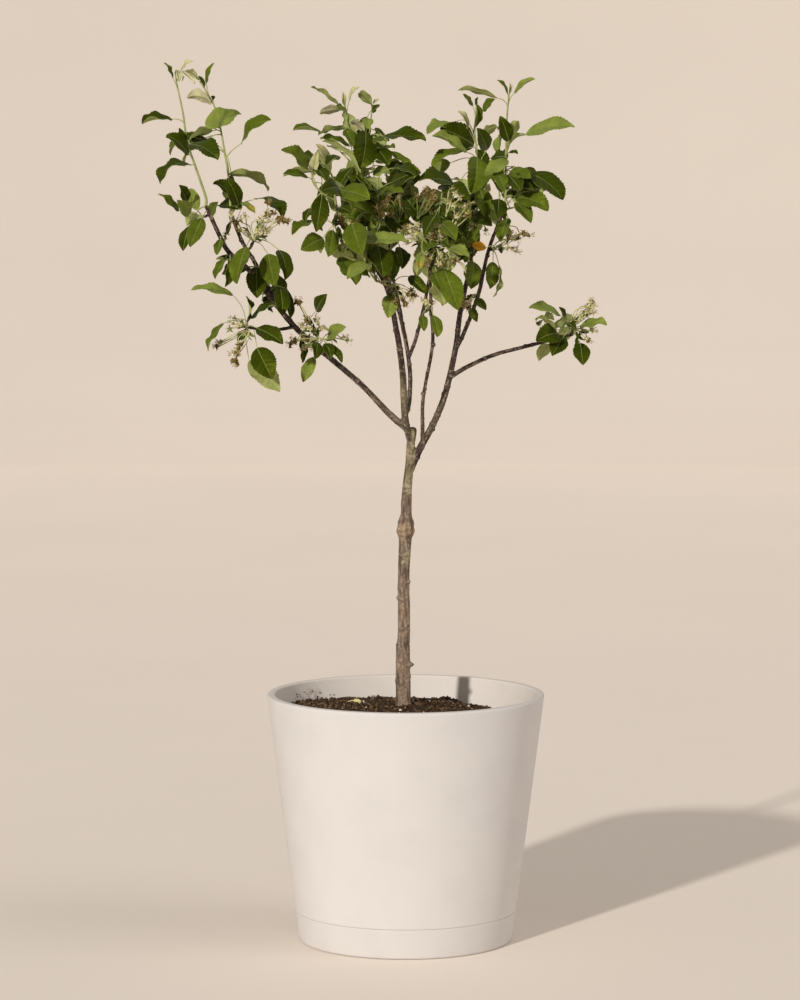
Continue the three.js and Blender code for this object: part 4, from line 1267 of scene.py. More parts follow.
# Leaves that show against the wall or on top: pixels of the blade's foot and tip, the blade's length, the
# face as facing() takes it, and the look. The blade leans towards the viewer as far as its length needs, or
# away if the length is negative. The first letter of a look is the tone: d dark, m middling, l light,
# y young and downy, r rusty, o orange. Dark, middling and light are partly the leaves' own tones and partly
# painted shade and painted light: the dark tone goes on leaves that lie in shade, the light tone on sunlit
# ones.
# A look without a tone is middling. Then come n narrow, w wide, f folded, a arched, c curled, s straight,
# h hooked, p set forward and b set back.
SPRIGS = {
    ("shoot_left_leader",): (
        (172, 119, 142, 124, 0.044, 55, "df"), (189, 154, 166, 137, 0.040, 40, "dh"),
        (186, 147, 179, 128, 0.028, 20, "dn"), (190, 144, 218, 160, 0.050, 48, "dwp"),
        (191, 165, 160, 184, 0.046, 64, "dc"), (173, 78, 164, 63, 0.022, 60, "mn"),
        (181, 70, 193, 61, 0.021, 50, "yn"), (177, 70, 179, 82, 0.017, 40, "yn"),
        (180, 71, 182, 81, 0.015, 90, "yn"), (197, 210, 186, 190, -0.034, 30, "l"),
    ),
    ("shoot_left_second",): (
        (212, 131, 189, 141, 0.044, 110, "df"), (206, 127, 241, 114, -0.052, 42, "lwp"),
        (241, 144, 271, 120, 0.052, 62, "mf"), (229, 174, 268, 191, 0.058, 118, "lna"),
        (239, 205, 227, 178, 0.042, 15, "d"), (237, 204, 213, 184, 0.042, 60, "dh"),
        (211, 102, 187, 98, -0.040, 140, "yh"), (182, 71, 194, 84, 0.024, 120, "y"),
        (197, 77, 186, 70, 0.022, 150, "y"), (206, 83, 214, 63, 0.028, 50, "mn"),
        (199, 76, 204, 88, 0.018, 40, "dn"), (213, 102, 211, 96, 0.015, 60, "d"),
    ),
    ("bough_left", "spur_left_outer"): (
        (179, 211, 158, 194, 0.038, 45, "mn"), (187, 202, 179, 185, 0.030, 30, "d"),
        (190, 214, 177, 200, 0.038, 20, "l"), (196, 213, 187, 226, -0.034, 165, "l"),
        (202, 218, 190, 247, 0.045, 12, "m"), (189, 226, 183, 251, 0.038, 30, "d"),
        (221, 239, 217, 255, 0.025, 20, "m"), (211, 214, 218, 202, 0.028, 30, "m"),
        (226, 257, 215, 279, 0.034, 40, "mn"), (230, 260, 225, 287, 0.038, 40, "dn"),
    ),
    ("bough_left_fork", "spur_left_truss", "spur_left_bend"): (
        (241, 209, 219, 206, -0.044, 60, "d"), (240, 202, 255, 213, 0.028, 50, "rn"),
        (256, 199, 282, 219, 0.054, 62, "da"), (246, 247, 237, 284, 0.052, 30, "mfpp"),
        (256, 267, 257, 298, 0.046, 8, "dwp"), (268, 254, 275, 286, 0.047, -5, "mw"),
        (279, 250, 285, 280, 0.045, 35, "da"), (280, 287, 282, 316, 0.043, 20, "dp"),
        (287, 289, 290, 319, 0.042, 50, "dn"), (262, 300, 270, 309, -0.036, 60, "d"),
    ),
    ("bough_left_spur",): (
        (233, 295, 191, 290, 0.055, 55, "ln"), (246, 325, 246, 296, 0.038, 75, "dn"),
        (251, 318, 275, 305, 0.036, 68, "dw"), (223, 323, 208, 351, 0.042, 55, "mn"),
        (257, 328, 283, 344, 0.045, 30, "d"), (257, 348, 272, 379, 0.048, 5, "dw"),
        (249, 361, 280, 392, -0.058, 168, "l"),
    ),
    ("spur_left_low", "bough_left"): (
        (316, 311, 327, 294, 0.034, 30, "d"), (327, 338, 346, 327, 0.036, 40, "l"),
        (331, 333, 319, 327, 0.020, 60, "yn"), (327, 343, 342, 363, 0.036, 40, "dn"),
        (326, 343, 331, 359, 0.029, 20, "d"), (314, 357, 303, 382, 0.036, 15, "l"),
        (301, 338, 302, 363, 0.033, 40, "dns"), (317, 342, 315, 359, 0.030, 20, "d"),
    ),
    ("shoot_centre_left", "side_centre_left", "spur_centre_truss"): (
        (322, 196, 316, 232, 0.052, 5, "dp"), (312, 220, 292, 235, 0.040, 50, "mf"),
        (310, 208, 305, 222, 0.024, 30, "d"), (323, 238, 301, 250, 0.038, 12, "mw"),
        (333, 230, 328, 257, 0.040, 20, "m"), (351, 222, 362, 255, 0.054, 0, "mw"),
        (366, 263, 347, 279, 0.038, 25, "lp"), (341, 257, 356, 285, 0.048, 40, "mwb"),
        (308, 168, 281, 150, 0.048, 45, "mfp"), (308, 177, 283, 174, 0.038, 50, "mn"),
        (313, 176, 318, 151, 0.034, 20, "yn"), (326, 160, 316, 144, 0.030, 30, "yn"),
        (312, 160, 302, 154, -0.028, 50, "d"), (339, 156, 326, 165, 0.032, 40, "d"),
        (316, 167, 327, 182, 0.037, 30, "d"), (339, 188, 321, 191, 0.042, 25, "dwp"),
        (340, 190, 370, 199, 0.048, 38, "mwp"), (338, 208, 352, 214, 0.034, 35, "d"),
    ),
    ("shoot_centre_back", "side_centre_back"): (
        (345, 128, 318, 135, 0.042, 118, "mns"), (322, 132, 293, 130, 0.042, 72, "mf"),
        (361, 173, 322, 141, 0.060, 112, "mnp"), (350, 146, 320, 139, 0.042, 55, "mn"),
        (366, 131, 360, 169, 0.054, 25, "dw"), (346, 129, 353, 146, 0.034, 20, "m"),
        (383, 136, 426, 141, 0.057, 62, "dsp"), (389, 151, 411, 173, 0.042, 50, "mnf"),
        (371, 158, 395, 148, 0.042, 108, "m"), (378, 150, 389, 166, 0.036, 20, "dw"),
        (373, 172, 390, 173, 0.034, 30, "l"), (383, 137, 374, 144, 0.024, 40, "m"),
        (338, 104, 311, 87, 0.044, 112, "mns"), (340, 110, 320, 113, 0.034, 130, "y"),
        (345, 111, 333, 107, -0.020, 60, "m"), (349, 101, 359, 87, 0.026, 60, "y"),
        (344, 105, 343, 92, 0.018, 20, "yn"), (371, 104, 359, 93, 0.028, 150, "m"),
        (372, 112, 380, 105, 0.019, 30, "d"), (373, 103, 379, 99, 0.012, 30, "yn"),
        (367, 118, 368, 129, 0.024, 10, "lw"), (364, 131, 351, 121, 0.026, 150, "y"),
    ),
    ("shoot_core", "spur_core_front", "spur_core_back"): (
        (371, 196, 404, 192, 0.050, 62, "m"), (390, 183, 421, 173, 0.050, 48, "dw"),
        (393, 168, 416, 176, 0.042, 60, "d"), (364, 240, 407, 242, 0.056, 58, "lp"),
        (378, 246, 383, 277, 0.048, 20, "dw"), (390, 249, 391, 282, 0.048, 15, "m"),
        (400, 247, 402, 269, 0.040, 25, "d"), (370, 250, 373, 272, 0.040, 40, "d"),
        (376, 206, 396, 214, 0.044, 40, "d"), (400, 200, 384, 212, 0.040, 30, "d"),
        (388, 213, 408, 235, 0.045, 20, "dw"), (404, 196, 418, 214, 0.040, 20, "d"),
        (412, 206, 426, 228, 0.042, 10, "d"), (424, 196, 412, 206, 0.036, 60, "d"),
    ),
    ("shoot_right_leader",): (
        (497, 98, 458, 90, 0.052, 108, "mns"), (508, 94, 497, 80, 0.024, 60, "mn"),
        (514, 93, 535, 79, 0.033, 50, "lnf"), (510, 93, 510, 83, 0.013, 30, "yn"),
        (509, 141, 500, 116, 0.037, 8, "d"), (511, 141, 517, 121, 0.034, 150, "m"),
        (526, 134, 575, 127, 0.063, 54, "l"), (508, 160, 485, 176, 0.040, 30, "l"),
        (508, 157, 491, 158, -0.038, 45, "d"), (507, 153, 518, 154, 0.018, 60, "d"),
        (497, 170, 504, 192, 0.038, 20, "m"), (508, 174, 521, 191, 0.040, 10, "dw"),
        (510, 171, 531, 178, 0.038, 30, "m"), (510, 189, 534, 190, 0.040, 60, "d"),
        (530, 173, 563, 200, 0.055, 45, "dw"), (516, 197, 548, 211, 0.050, 38, "mh"),
        (516, 202, 531, 223, 0.043, 30, "m"), (499, 199, 497, 218, 0.036, 10, "dw"),
    ),
    ("shoot_right_back", "side_right_back"): (
        (483, 111, 495, 99, 0.025, 40, "m"), (476, 127, 477, 104, 0.034, 40, "mnf"),
        (473, 106, 463, 94, 0.023, 40, "mn"), (476, 106, 478, 97, 0.013, 40, "dn"),
        (468, 129, 458, 111, 0.030, 50, "ynf"), (474, 145, 440, 128, 0.054, 20, "dwb"),
        (452, 123, 427, 134, 0.044, 55, "lb"), (467, 152, 432, 136, 0.050, 48, "lnfp"),
        (464, 150, 432, 168, 0.048, 60, "mf"), (450, 163, 434, 172, -0.040, 30, "l"),
        (487, 150, 477, 128, 0.040, 18, "d"), (484, 137, 498, 130, 0.030, 120, "mh"),
        (477, 157, 471, 193, 0.052, 20, "mwfp"), (461, 179, 469, 196, 0.036, 160, "l"),
        (480, 189, 487, 219, 0.048, 12, "mf"), (476, 193, 470, 213, 0.040, 15, "d"),
        (470, 215, 492, 226, 0.044, 30, "m"),
    ),
    ("spur_right_hang", "bough_right_fork", "spur_right_low"): (
        (508, 218, 501, 242, 0.038, 30, "m"), (486, 248, 472, 245, 0.018, 20, "owsppp"),
        (493, 262, 490, 289, 0.038, 10, "m"), (499, 265, 493, 297, 0.043, 100, "mn"),
        (475, 299, 486, 310, 0.025, 20, "m"), (470, 308, 477, 322, 0.025, 15, "m"),
    ),
    ("shoot_front", "spur_front_top"): (
        (421, 252, 419, 269, 0.024, 0, "rp"), (447, 247, 469, 257, 0.038, 45, "l"),
        (449, 251, 466, 273, 0.038, 80, "yn"), (444, 269, 458, 310, 0.060, 15, "ms"),
        (434, 272, 441, 292, 0.034, 10, "m"), (433, 286, 444, 305, -0.040, 172, "l"),
        (436, 214, 424, 236, 0.044, 20, "d"), (440, 222, 456, 240, 0.044, 25, "m"),
        (436, 238, 424, 252, 0.036, 40, "m"),
    ),
    ("shoot_inner", "spur_inner", "spur_right_back"): (
        (474, 262, 471, 289, 0.042, 15, "mw"), (436, 206, 449, 221, 0.038, 25, "d"),
        (452, 226, 466, 238, 0.040, 40, "d"), (454, 184, 419, 181, 0.052, 52, "dw"),
        (439, 186, 469, 201, 0.050, 48, "dw"), (452, 203, 470, 222, 0.044, 25, "m"),
        (449, 208, 434, 226, 0.046, 10, "dw"), (462, 222, 450, 246, 0.046, 15, "d"),
        (466, 226, 478, 246, 0.044, 10, "m"), (470, 246, 457, 262, 0.040, 30, "d"),
    ),
    ("spur_centre_low", "bough_centre_front"): (
        (391, 294, 388, 318, 0.034, 0, "lw"), (409, 276, 426, 294, 0.034, 20, "d"),
    ),
    ("spur_front_low", "bough_front"): (
        (422, 315, 424, 331, 0.025, 10, "m"), (433, 315, 437, 337, 0.031, 30, "m"),
    ),
    ("spur_far_right", "bough_right_long"): (
        (560, 315, 529, 308, 0.047, 60, "l"), (565, 318, 559, 307, 0.021, 40, "dn"),
        (566, 321, 561, 330, 0.027, 140, "m"), (555, 329, 536, 321, 0.034, 110, "nh"),
        (559, 335, 536, 341, 0.041, 30, "dwa"), (580, 326, 607, 325, 0.042, 55, "l"),
        (573, 323, 571, 314, 0.015, 30, "yn"), (567, 323, 576, 330, 0.022, 30, "d"),
        (564, 336, 552, 356, 0.037, 10, "dw"), (549, 344, 539, 361, -0.037, 168, "l"),
        (580, 343, 583, 365, 0.037, 5, "dw"), (576, 332, 574, 346, 0.023, 60, "dn"),
    ),
}
FILLS = {  # leaves that the rule adds inside each mass, side shoots to carry them, cells of sky they may span
    "foliage_left_leader": (4, 1, 1), "foliage_left_second": (6, 1, 1), "foliage_left_outer": (3, 0, 1),
    "foliage_left_bend": (7, 1, 1), "foliage_left_hanging": (4, 1, 1), "foliage_left_spur": (3, 1, 1),
    "foliage_centre_left": (9, 2, 1), "foliage_centre_front": (15, 3, 3), "foliage_centre_low": (2, 0, 1),
    "foliage_centre_core": (20, 3, 3), "foliage_centre_back": (26, 5, 3), "foliage_front": (13, 3, 3),
    "foliage_front_low": (1, 0, 1), "foliage_inner": (13, 2, 3), "foliage_right_back": (20, 4, 1),
    "foliage_right_leader": (12, 3, 1), "foliage_right_low": (5, 1, 1), "foliage_far_right": (6, 2, 1),
}
# Mostly the dark tone, which is partly painted shade: these leaves grow hidden inside the masses.
FILL_LOOKS = ("d", "d", "d", "m", "m", "l", "da", "ma", "dw", "mw")
FILL_SHOOTS_UP, FILL_DROOP = 0.7, (-0.9, 0.1)
FILL_STALKS, FILL_LENGTHS, LEAF_SPACING = (0.018, 0.030), (0.036, 0.056), 0.013
SIDE_SHOOT_LENGTHS, SIDE_SHOOT_RADII, END_LEAF_LENGTHS = (0.03, 0.055), (0.0013, 0.0008), (0.022, 0.034)
SHOOT_TRIES, LEAF_TRIES = 300, 700
SHOOT_DEPTH, TIP_DEPTH, MIDDLE_DEPTH, CARRIER_DEPTH = 0.006, -0.002, 0.002, 0.002  # least, inside the mass
END_LEAF_TURNS, END_LEAF_STALK = (0.7, -0.7), 0.006
SHOOT_STEP, SHOOT_SAG = 0.002, 0.012
STALK_PIXELS, STALK_DROP = 13, (0, 5)  # from the blade's foot back to the carrier, in the picture
FORWARD_RANGE, FORWARD_STEP = (0.002, 0.012), 0.014  # from the carrier towards the viewer


def grow_shoots(lines, foliage):
    """The green shoots, each grown on from the line that carries it."""
    for table in (SHOOTS, SIDE_SHOOTS):
        for name, (carrier, points, radii) in table.items():
            carrying = lines[carrier][0]
            foot = carrying[-1]
            if table is SIDE_SHOOTS:
                below = np.array(points[0]) - SHOOT_SAG * UP
                foot = carrying[np.argmin(np.linalg.norm(carrying - below, axis=1))]
            route = smooth_route([foot, *points], SHOOT_STEP)
            lines[name] = (route, along(radii, len(route)))
            foliage.stalks.add(*tube(route[::2], radii, 8), SHOOT)


def grow_seen_leaves(lines, foliage):
    """The leaves of the sprigs table, each on the nearest point of its carriers."""
    rng = random.Random(21)
    for carriers, leaves in SPRIGS.items():
        route = np.vstack([lines[name][0] for name in carriers])
        pixels = shown_at(route)
        for x0, y0, x1, y1, length, degrees, look in leaves:
            back = np.array((x0 - x1, y0 - y1), float)
            target = np.array((x0, y0)) + unit(back) * STALK_PIXELS + STALK_DROP
            start = route[np.argmin(np.linalg.norm(pixels - target, axis=1))]
            forward = rng.uniform(*FORWARD_RANGE) + FORWARD_STEP * look_sum(look, {"p": 1, "b": -1})
            base = seen(x0, y0, start[1] - forward)
            flat_tip = seen(x1, y1, base[1])
            spare = length ** 2 - np.sum((flat_tip - base) ** 2)
            lean = math.sqrt(max(spare, 0.0)) * (-1 if length > 0 else 1)
            tip = seen(x1, y1, base[1] + lean)
            look = look if look[0] in TONES else "m" + look
            foliage.leaf(start, base, tip, facing(tip - base, degrees), look)


def mass_tree(node):
    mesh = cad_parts[node].data
    return BVHTree.FromPolygons([v.co for v in mesh.vertices], [p.vertices for p in mesh.polygons])


def depth_inside(tree, point):
    """How far a point lies inside a closed mass, negative outside."""
    place, normal, _, gap = tree.find_nearest(Vector(point))
    return gap if (Vector(point) - place).dot(normal) < 0 else -gap


class Cover:
    """Where the leaves that show lie in the picture, and how deep, in cells of a few pixels."""

    CELL = 3

    def __init__(self, blades, gap):
        """Gaps up to twice that many cells wide count as covered."""
        self.gap = gap
        columns, rows = PICTURE_WIDTH // self.CELL, PICTURE_HEIGHT // self.CELL
        self.depth = np.full((rows, columns), np.inf)
        for points in blades:
            cells = (shown_at(points) / self.CELL).astype(int)
            np.minimum.at(self.depth, (cells[:, 1], cells[:, 0]), points[:, 1])
        filled = np.isfinite(self.depth)
        self.filled = ~self.spread(~self.spread(filled))
        self.depth[~filled] = -np.inf

    def spread(self, cells):
        for _ in range(self.gap):
            cells = cells | np.roll(cells, 1, 0) | np.roll(cells, -1, 0)
            cells = cells | np.roll(cells, 1, 1) | np.roll(cells, -1, 1)
        return cells

    def hides(self, points, share=1.0):
        cells = (shown_at(points) / self.CELL).astype(int)
        rows, columns = cells[:, 1], cells[:, 0]
        hidden = self.filled[rows, columns] & (np.asarray(points)[:, 1] > self.depth[rows, columns] + 0.002)
        return hidden.mean() >= share


def find_side_shoot(tree, inside, cover, rng):
    """Foot and tip of a side shoot that stays in the mass and out of sight, or nothing if none is found."""
    for _ in range(SHOOT_TRIES):
        foot = np.array(rng.choice(inside))
        heading = unit(random_turn(rng) + FILL_SHOOTS_UP * UP)
        tip = foot + heading * rng.uniform(*SIDE_SHOOT_LENGTHS)
        if depth_inside(tree, tip) > SHOOT_DEPTH and cover.hides(np.linspace(foot, tip, 12)):
            return foot, tip
    return None


def grow_side_shoot(foot, tip, cover, foliage, rng):
    """A green shoot with up to two leaves at its end. Gives the places on it that can carry leaves."""
    bend = (foot + tip) / 2 + random_turn(rng) * 0.006 - UP * 0.003
    route = smooth_route([foot, bend, tip], 0.003)
    ahead = unit(route[-1] - route[-3])
    ends = 0
    for turn in END_LEAF_TURNS:
        lean = unit(ahead + turn * square_to(random_turn(rng), ahead))
        base = tip + lean * END_LEAF_STALK
        leaf_tip = base + lean * rng.uniform(*END_LEAF_LENGTHS)
        ends += foliage.leaf(tip, base, leaf_tip, UP, rng.choice("mly"), cover)
    if not ends:
        return []
    foliage.stalks.add(*tube(route, SIDE_SHOOT_RADII, 6), SHOOT)
    return list(route[3:]) * 3


def try_fill_leaf(tree, centre, nodes, cover, foliage, rng):
    """One random leaf, which is added if it is inside the mass, out of sight and clear of its neighbours."""
    start = np.array(rng.choice(nodes))
    outward = unit(start - centre + random_turn(rng) * 0.03)
    heading = unit(outward * 0.6 + random_turn(rng) * 0.8 + UP * 0.25)
    base = start + heading * rng.uniform(*FILL_STALKS)
    length = rng.uniform(*FILL_LENGTHS)
    tip = base + unit(heading + UP * rng.uniform(*FILL_DROOP)) * length
    middle = (base + tip) / 2
    beside = square_to(random_turn(rng), tip - base) * length * 0.2
    if not cover.hides(np.array((base, middle, tip, middle + beside, middle - beside))):
        return False
    crowded = any(np.linalg.norm(middle - other) < LEAF_SPACING for other in foliage.middles)
    if crowded or depth_inside(tree, tip) < TIP_DEPTH or depth_inside(tree, middle) < MIDDLE_DEPTH:
        return False
    face = unit(outward * 0.55 + UP * 0.6 + TO_VIEWER * 0.25 + random_turn(rng) * 0.45)
    return foliage.leaf(start, base, tip, face, rng.choice(FILL_LOOKS), cover)


def grow_fill(lines, foliage):
    """The seeded branching rule: side shoots inside each mass, then leaves round them and their carriers."""
    rng = random.Random(77)
    covers = {gap: Cover(foliage.blades.points, gap) for gap in (1, 3)}
    carriers = np.vstack([route[len(route) // 3:] for name, (route, _) in lines.items() if name != "trunk"])
    for node, (leaf_count, shoot_count, gap) in FILLS.items():
        cover, tree = covers[gap], mass_tree(node)
        low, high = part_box(node)
        centre = np.array((low + high) / 2)
        inside = [p for p in carriers[::4] if depth_inside(tree, p) > CARRIER_DEPTH]
        if not inside:
            inside = [carriers[np.argmin(np.linalg.norm(carriers - centre, axis=1))]]
        nodes = list(inside)
        for _ in range(shoot_count):
            ends = find_side_shoot(tree, inside, cover, rng)
            if ends:
                nodes += grow_side_shoot(*ends, cover, foliage, rng)
        placed, tries = 0, 0
        while placed < leaf_count and tries < leaf_count * LEAF_TRIES:
            placed += try_fill_leaf(tree, centre, nodes, cover, foliage, rng)
            tries += 1


def add_foliage(lines):
    """The leaves in three pieces, each with every third leaf, and the green shoots and stalks in one."""
    foliage = Foliage(3)
    grow_shoots(lines, foliage)
    grow_seen_leaves(lines, foliage)
    grow_fill(lines, foliage)
    materials = []
    for name, colour in LEAF_COLOURS.items():
        roughness, specular = (0.75, 0.1) if name in DOWNY else (0.45, 0.20)
        materials.append(plant_material(name, colour, roughness, specular))
    masses = list(FILLS)
    points, per_leaf = foliage.blades.points, len(LEAF_FACES)
    for number in range(LEAF_PIECES):
        part = Pile()
        for i in range(number, len(points), LEAF_PIECES):
            part.add(points[i], LEAF_FACES, foliage.blades.materials[i * per_leaf:(i + 1) * per_leaf])
        replaced = masses[number::LEAF_PIECES]
        add_piece(f"leaves_{number + 1}", part, materials, replaced, math.radians(60))
    greens = [plant_material(name, *look) for name, look in STALK_COLOURS.items()]
    add_piece("shoots", foliage.stalks, greens)


# --- Withered blossom ---
PALE_STALK, CUP, STAMEN, WITHERED, STRAW, GREEN_CUP, BRACT = range(7)
BLOSSOM_COLOURS = {  # colour and roughness, in the order of the material numbers
    "blossom_stalk": ((0.46, 0.45, 0.22), 0.6),
    "blossom_cup": ((0.55, 0.51, 0.28), 0.65),
    "blossom_anther": ((0.20, 0.135, 0.045), 0.8),
    "blossom_withered": ((0.135, 0.084, 0.026), 0.8),
    "blossom_straw": ((0.54, 0.48, 0.24), 0.7),
    "blossom_green": ((0.17, 0.20, 0.065), 0.65),
    "blossom_bract": ((0.050, 0.068, 0.010), 0.6),
}
TRUSSES = (  # pixels of the foot and of the flowers' middle, depth, spread, how many, share that is brown
    (248, 329, 223, 343, -0.086, 0.006, 3, 0.6), (249, 331, 239, 345, -0.090, 0.009, 6, 0.25),
    (249, 331, 236, 359, -0.088, 0.004, 2, 0.8), (248, 328, 237, 325, -0.080, 0.010, 5, 0.0),
    (254, 240, 262, 216, -0.046, 0.020, 6, 0.3), (254, 240, 279, 224, -0.052, 0.010, 4, 0.8),
    (252, 240, 243, 222, -0.036, 0.018, 5, 0.2), (254, 240, 262, 234, -0.056, 0.014, 5, 0.1),
    (230, 216, 229, 234, -0.010, 0.008, 2, 0.9), (318, 338, 301, 304, -0.046, 0.004, 2, 0.8),
    (318, 338, 309, 324, -0.048, 0.009, 6, 0.2), (318, 340, 295, 340, -0.050, 0.006, 3, 0.4),
    (320, 340, 343, 337, -0.040, 0.006, 2, 0.2), (318, 341, 309, 344, -0.052, 0.008, 5, 0.5),
    (318, 336, 316, 329, -0.048, 0.009, 4, 0.0), (333, 224, 340, 216, -0.120, 0.014, 6, 0.1),
    (333, 226, 352, 228, -0.104, 0.014, 3, 0.9), (376, 226, 384, 211, -0.104, 0.016, 6, 0.9),
    (398, 222, 394, 205, -0.080, 0.016, 6, 0.9), (418, 218, 423, 200, -0.098, 0.014, 7, 0.95),
    (422, 244, 408, 233, -0.112, 0.015, 10, 0.3), (436, 252, 432, 258, -0.122, 0.016, 9, 0.2),
    (436, 250, 446, 256, -0.120, 0.012, 6, 0.3), (434, 246, 437, 236, -0.118, 0.012, 6, 0.3),
    (436, 240, 422, 232, -0.116, 0.014, 6, 0.2), (446, 216, 450, 197, -0.100, 0.014, 5, 0.2),
    (450, 232, 461, 212, -0.096, 0.015, 9, 0.1), (436, 222, 434, 206, -0.094, 0.011, 3, 0.8),
    (448, 238, 458, 226, 0.000, 0.022, 6, 0.1), (391, 286, 398, 300, -0.072, 0.012, 6, 0.5),
    (391, 286, 405, 296, -0.070, 0.012, 5, 0.5), (391, 286, 386, 280, -0.064, 0.006, 2, 0.3),
    (428, 309, 427, 304, -0.070, 0.008, 4, 0.3), (475, 296, 468, 300, 0.020, 0.011, 6, 0.7),
    (493, 250, 508, 246, 0.000, 0.010, 4, 0.1), (493, 248, 521, 239, 0.004, 0.010, 3, 0.1),
    (500, 225, 512, 230, -0.006, 0.012, 3, 0.2), (572, 327, 587, 312, 0.056, 0.014, 6, 0.2),
    (572, 327, 592, 307, 0.052, 0.009, 5, 0.3), (574, 330, 587, 335, 0.056, 0.012, 4, 0.3),
    (470, 240, 456, 215, 0.086, 0.022, 5, 0.5), (372, 200, 366, 214, 0.104, 0.030, 6, 0.5),
    (478, 200, 500, 236, 0.100, 0.024, 4, 0.3), (352, 190, 346, 196, 0.118, 0.024, 5, 0.5),
)
FLOWER_STALK_RADII, STALK_SPREAD = (0.0007, 0.0006, 0.0008), 0.0012
BRACT_OUTLINE = ((0, 0.03), (0.35, 0.20), (0.7, 0.17), (1.0, 0.01))  # half widths as shares of the length
BRACT_LENGTHS, BRACT_THICKNESS, DARK_BRACTS = (0.008, 0.017), 0.0003, 0.7
SEPALS, SEPAL_SIZES, SEPAL_BENDS = 5, (0.85, 1.2), (-0.4, 0.9)
STAMENS, STAMEN_LENGTHS, STAMEN_RADII = (7, 11), (0.0045, 0.0075), (0.00022, 0.00016, 0.00022)
ANTHER_RADII = (0.0002, 0.0005, 0.0002)
BROWN_PETALS, BROWN_PETAL_STEP, BROWN_PETAL_CRUMPLE, BROWN_PETAL_THICKNESS = (2, 4), 0.0016, 0.0008, 0.00025
CUP_STEPS, CUP_RADII = np.array((0.0, 0.0012, 0.0026, 0.0036)), (0.0008, 0.0015, 0.0018, 0.0014)
MOUTH_HEIGHT, GREEN_CUP_SHARE = 0.0034, 0.35
SEPAL_WIDTHS, SEPAL_HALF_THICKNESS = (0.0010, 0.0011, 0.0001), 0.00012
SEPAL_SIDES = ((0, 1, 5, 4), (2, 6, 7, 3), (0, 4, 6, 2), (1, 3, 7, 5))
SEPAL_ENDS = [(0, 2, 3, 1), (8, 9, 11, 10)]
SEPAL_FACES = [tuple(k + i for i in side) for k in (0, 4) for side in SEPAL_SIDES] + SEPAL_ENDS


def thin_sheet(grid, thickness):
    """A closed thin sheet from 4 rows of 3 points."""
    points = grid + [spot - thickness for spot in grid]
    faces = []
    for row in range(3):
        for column in range(2):
            a = row * 3 + column
            faces += [(a, a + 1, a + 4, a + 3), (a + 12, a + 15, a + 16, a + 13)]
    rim = (0, 1, 2, 5, 8, 11, 10, 9, 6, 3)
    faces += [(a, a + 12, b + 12, b) for a, b in zip(rim, rim[1:] + rim[:1])]
    return points, faces


def add_bract(pile, foot, tip, rng):
    """A small folded green leaflet among the flower stalks."""
    ahead = tip - foot
    side = square_to(random_turn(rng), ahead)
    up = np.cross(side, unit(ahead))
    length = np.linalg.norm(ahead)
    grid = []
    for share, width in BRACT_OUTLINE:
        centre = foot + ahead * share - up * length * 0.2 * share ** 2
        for column in (-1, 0, 1):
            grid.append(centre + side * width * length * column + up * abs(column) * width * length * 0.6)
    pile.add(*thin_sheet(grid, up * BRACT_THICKNESS), BRACT if rng.random() < DARK_BRACTS else GREEN_CUP)


def add_sepal(pile, mouth, heading, out, size, back, material):
    """A narrow pointed leaflet at the cup's mouth, bent back by that share."""
    wide = np.cross(heading, out)
    spine = (
        mouth + out * 0.0009,
        mouth + (out * 0.0030 + heading * 0.0007) * size,
        mouth + (out * 0.0048 - heading * 0.0026 * back) * size,
    )
    points = []
    for centre, half in zip(spine, SEPAL_WIDTHS):
        for lift in (SEPAL_HALF_THICKNESS, -SEPAL_HALF_THICKNESS):
            points += [centre - wide * half + heading * lift, centre + wide * half + heading * lift]
    pile.add(points, SEPAL_FACES, material)


def add_stamen(pile, mouth, heading, rng):
    """A dry thread with a brown anther at its end."""
    lean = unit(heading + random_turn(rng) * 0.55)
    end = mouth + lean * rng.uniform(*STAMEN_LENGTHS)
    bend = (mouth + end) / 2 + random_turn(rng) * 0.0006
    pile.add(*tube(np.array((mouth, bend, end)), STAMEN_RADII, 3), STRAW)
    anther = np.array((end - lean * 0.0004, end, end + lean * 0.0006))
    pile.add(*tube(anther, ANTHER_RADII, 4), STAMEN)


def add_brown_petal(pile, mouth, heading, rng):
    """A crumpled withered petal that hangs on at the cup's mouth."""
    start = mouth + random_turn(rng) * 0.0014
    out = unit(random_turn(rng) + heading * 0.4)
    wide = square_to(random_turn(rng), out)
    lift = np.cross(out, wide)
    grid = []
    for row in range(4):
        for column in (-1, 0, 1):
            spot = start + out * row * BROWN_PETAL_STEP + wide * column * (0.0009 + 0.0006 * row)
            grid.append(spot + lift * rng.uniform(-BROWN_PETAL_CRUMPLE, BROWN_PETAL_CRUMPLE))
    pile.add(*thin_sheet(grid, lift * BROWN_PETAL_THICKNESS), WITHERED)


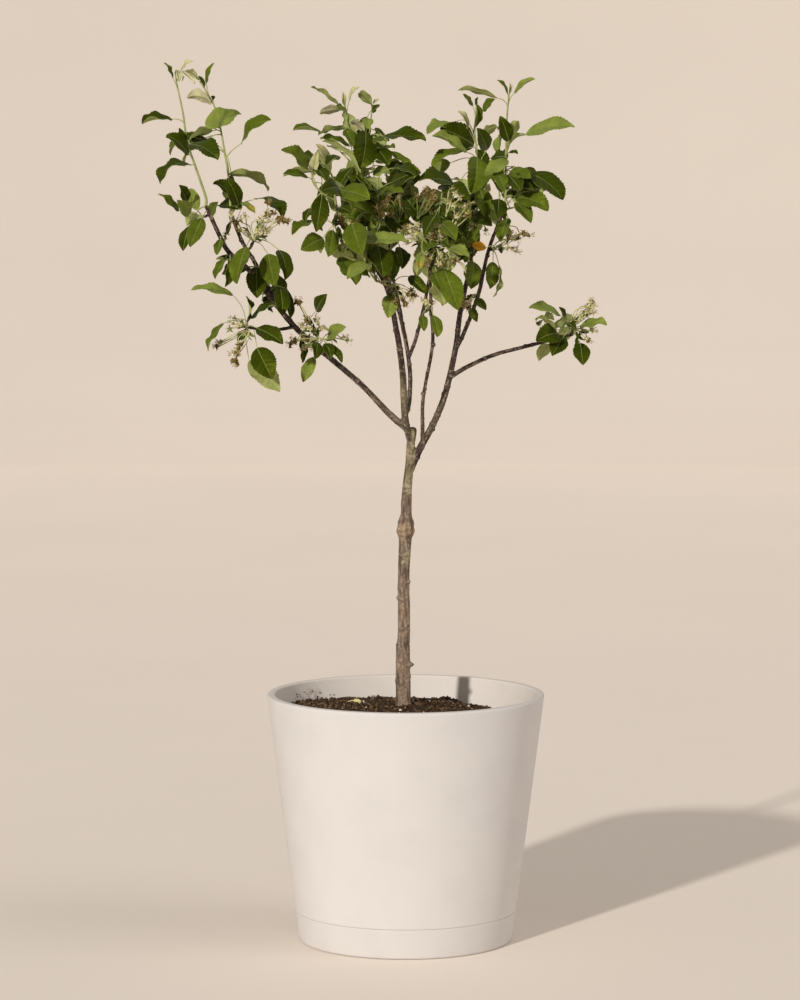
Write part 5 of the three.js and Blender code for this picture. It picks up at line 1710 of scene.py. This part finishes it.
def add_flower(pile, place, heading, withered, rng):
    """One flower past its bloom: a cup with turned-back sepals, dry stamens and now and then brown petals."""
    side = square_to(np.array((0.3, 0.5, 0.8)), heading)
    across = np.cross(heading, side)
    gone = rng.random() < withered
    cup = STAMEN if gone else GREEN_CUP if rng.random() < GREEN_CUP_SHARE else CUP
    pile.add(*tube(place + np.outer(CUP_STEPS, heading), CUP_RADII, 6), cup)
    mouth = place + heading * MOUTH_HEIGHT
    size = rng.uniform(*SEPAL_SIZES)
    for i in range(SEPALS):
        angle = 2 * math.pi * (i + rng.uniform(-0.15, 0.15)) / SEPALS
        out = side * math.cos(angle) + across * math.sin(angle)
        add_sepal(pile, mouth, heading, out, size, rng.uniform(*SEPAL_BENDS), cup)
    for _ in range(rng.randint(*STAMENS)):
        add_stamen(pile, mouth, heading, rng)
    if gone:
        for _ in range(rng.randint(*BROWN_PETALS)):
            add_brown_petal(pile, mouth, heading, rng)


def add_flower_on_stalk(pile, foot, middle, spread, withered, rng):
    # Trusses that are mostly withered get the darker green for their stalks: partly the dry stalks' colour,
    # and partly painted shade, as these trusses hang in shade.
    stalk = GREEN_CUP if withered > 0.8 else PALE_STALK
    place = middle + random_turn(rng) * spread * rng.uniform(0.35, 1.0)
    heading = unit(unit(place - foot) + random_turn(rng) * 0.6)
    bend = (foot + place) / 2 + (UP * 0.14 + random_turn(rng) * 0.22) * np.linalg.norm(place - foot)
    route = smooth_route([foot + random_turn(rng) * STALK_SPREAD, bend, place], 0.004)
    pile.add(*tube(route, FLOWER_STALK_RADII, 5), stalk)
    add_flower(pile, place, heading, withered, rng)


def grow_blossom():
    """The withered trusses: flowers on stalks from one foot, with leaflets among them."""
    rng, leaflets = random.Random(8), random.Random(9)
    pile = Pile()
    for x0, y0, x1, y1, depth, spread, count, withered in TRUSSES:
        foot = seen(x0, y0, depth + 0.010)
        middle = seen(x1, y1, depth)
        for _ in range(count):
            add_flower_on_stalk(pile, foot, middle, spread, withered, rng)
        for _ in range(1 + count // 2):
            start = foot + (middle - foot) * leaflets.uniform(0.0, 0.55) + random_turn(leaflets) * 0.0008
            ahead = unit(unit(middle - foot) + random_turn(leaflets) * 0.9)
            add_bract(pile, start, start + ahead * leaflets.uniform(*BRACT_LENGTHS), leaflets)
    materials = [plant_material(name, *look) for name, look in BLOSSOM_COLOURS.items()]
    add_piece("blossom", pile, materials)


# --- The scene ---
add_camera()
add_stage()
add_light()
add_planter()
add_saucer()
add_soil()
add_grit()
limbs = limb_lines()
add_bark(limbs)
add_foliage(limbs)
grow_blossom()

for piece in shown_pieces():
    piece.data.calc_loop_triangles()
    print(piece.name, len(piece.data.loop_triangles), "triangles")
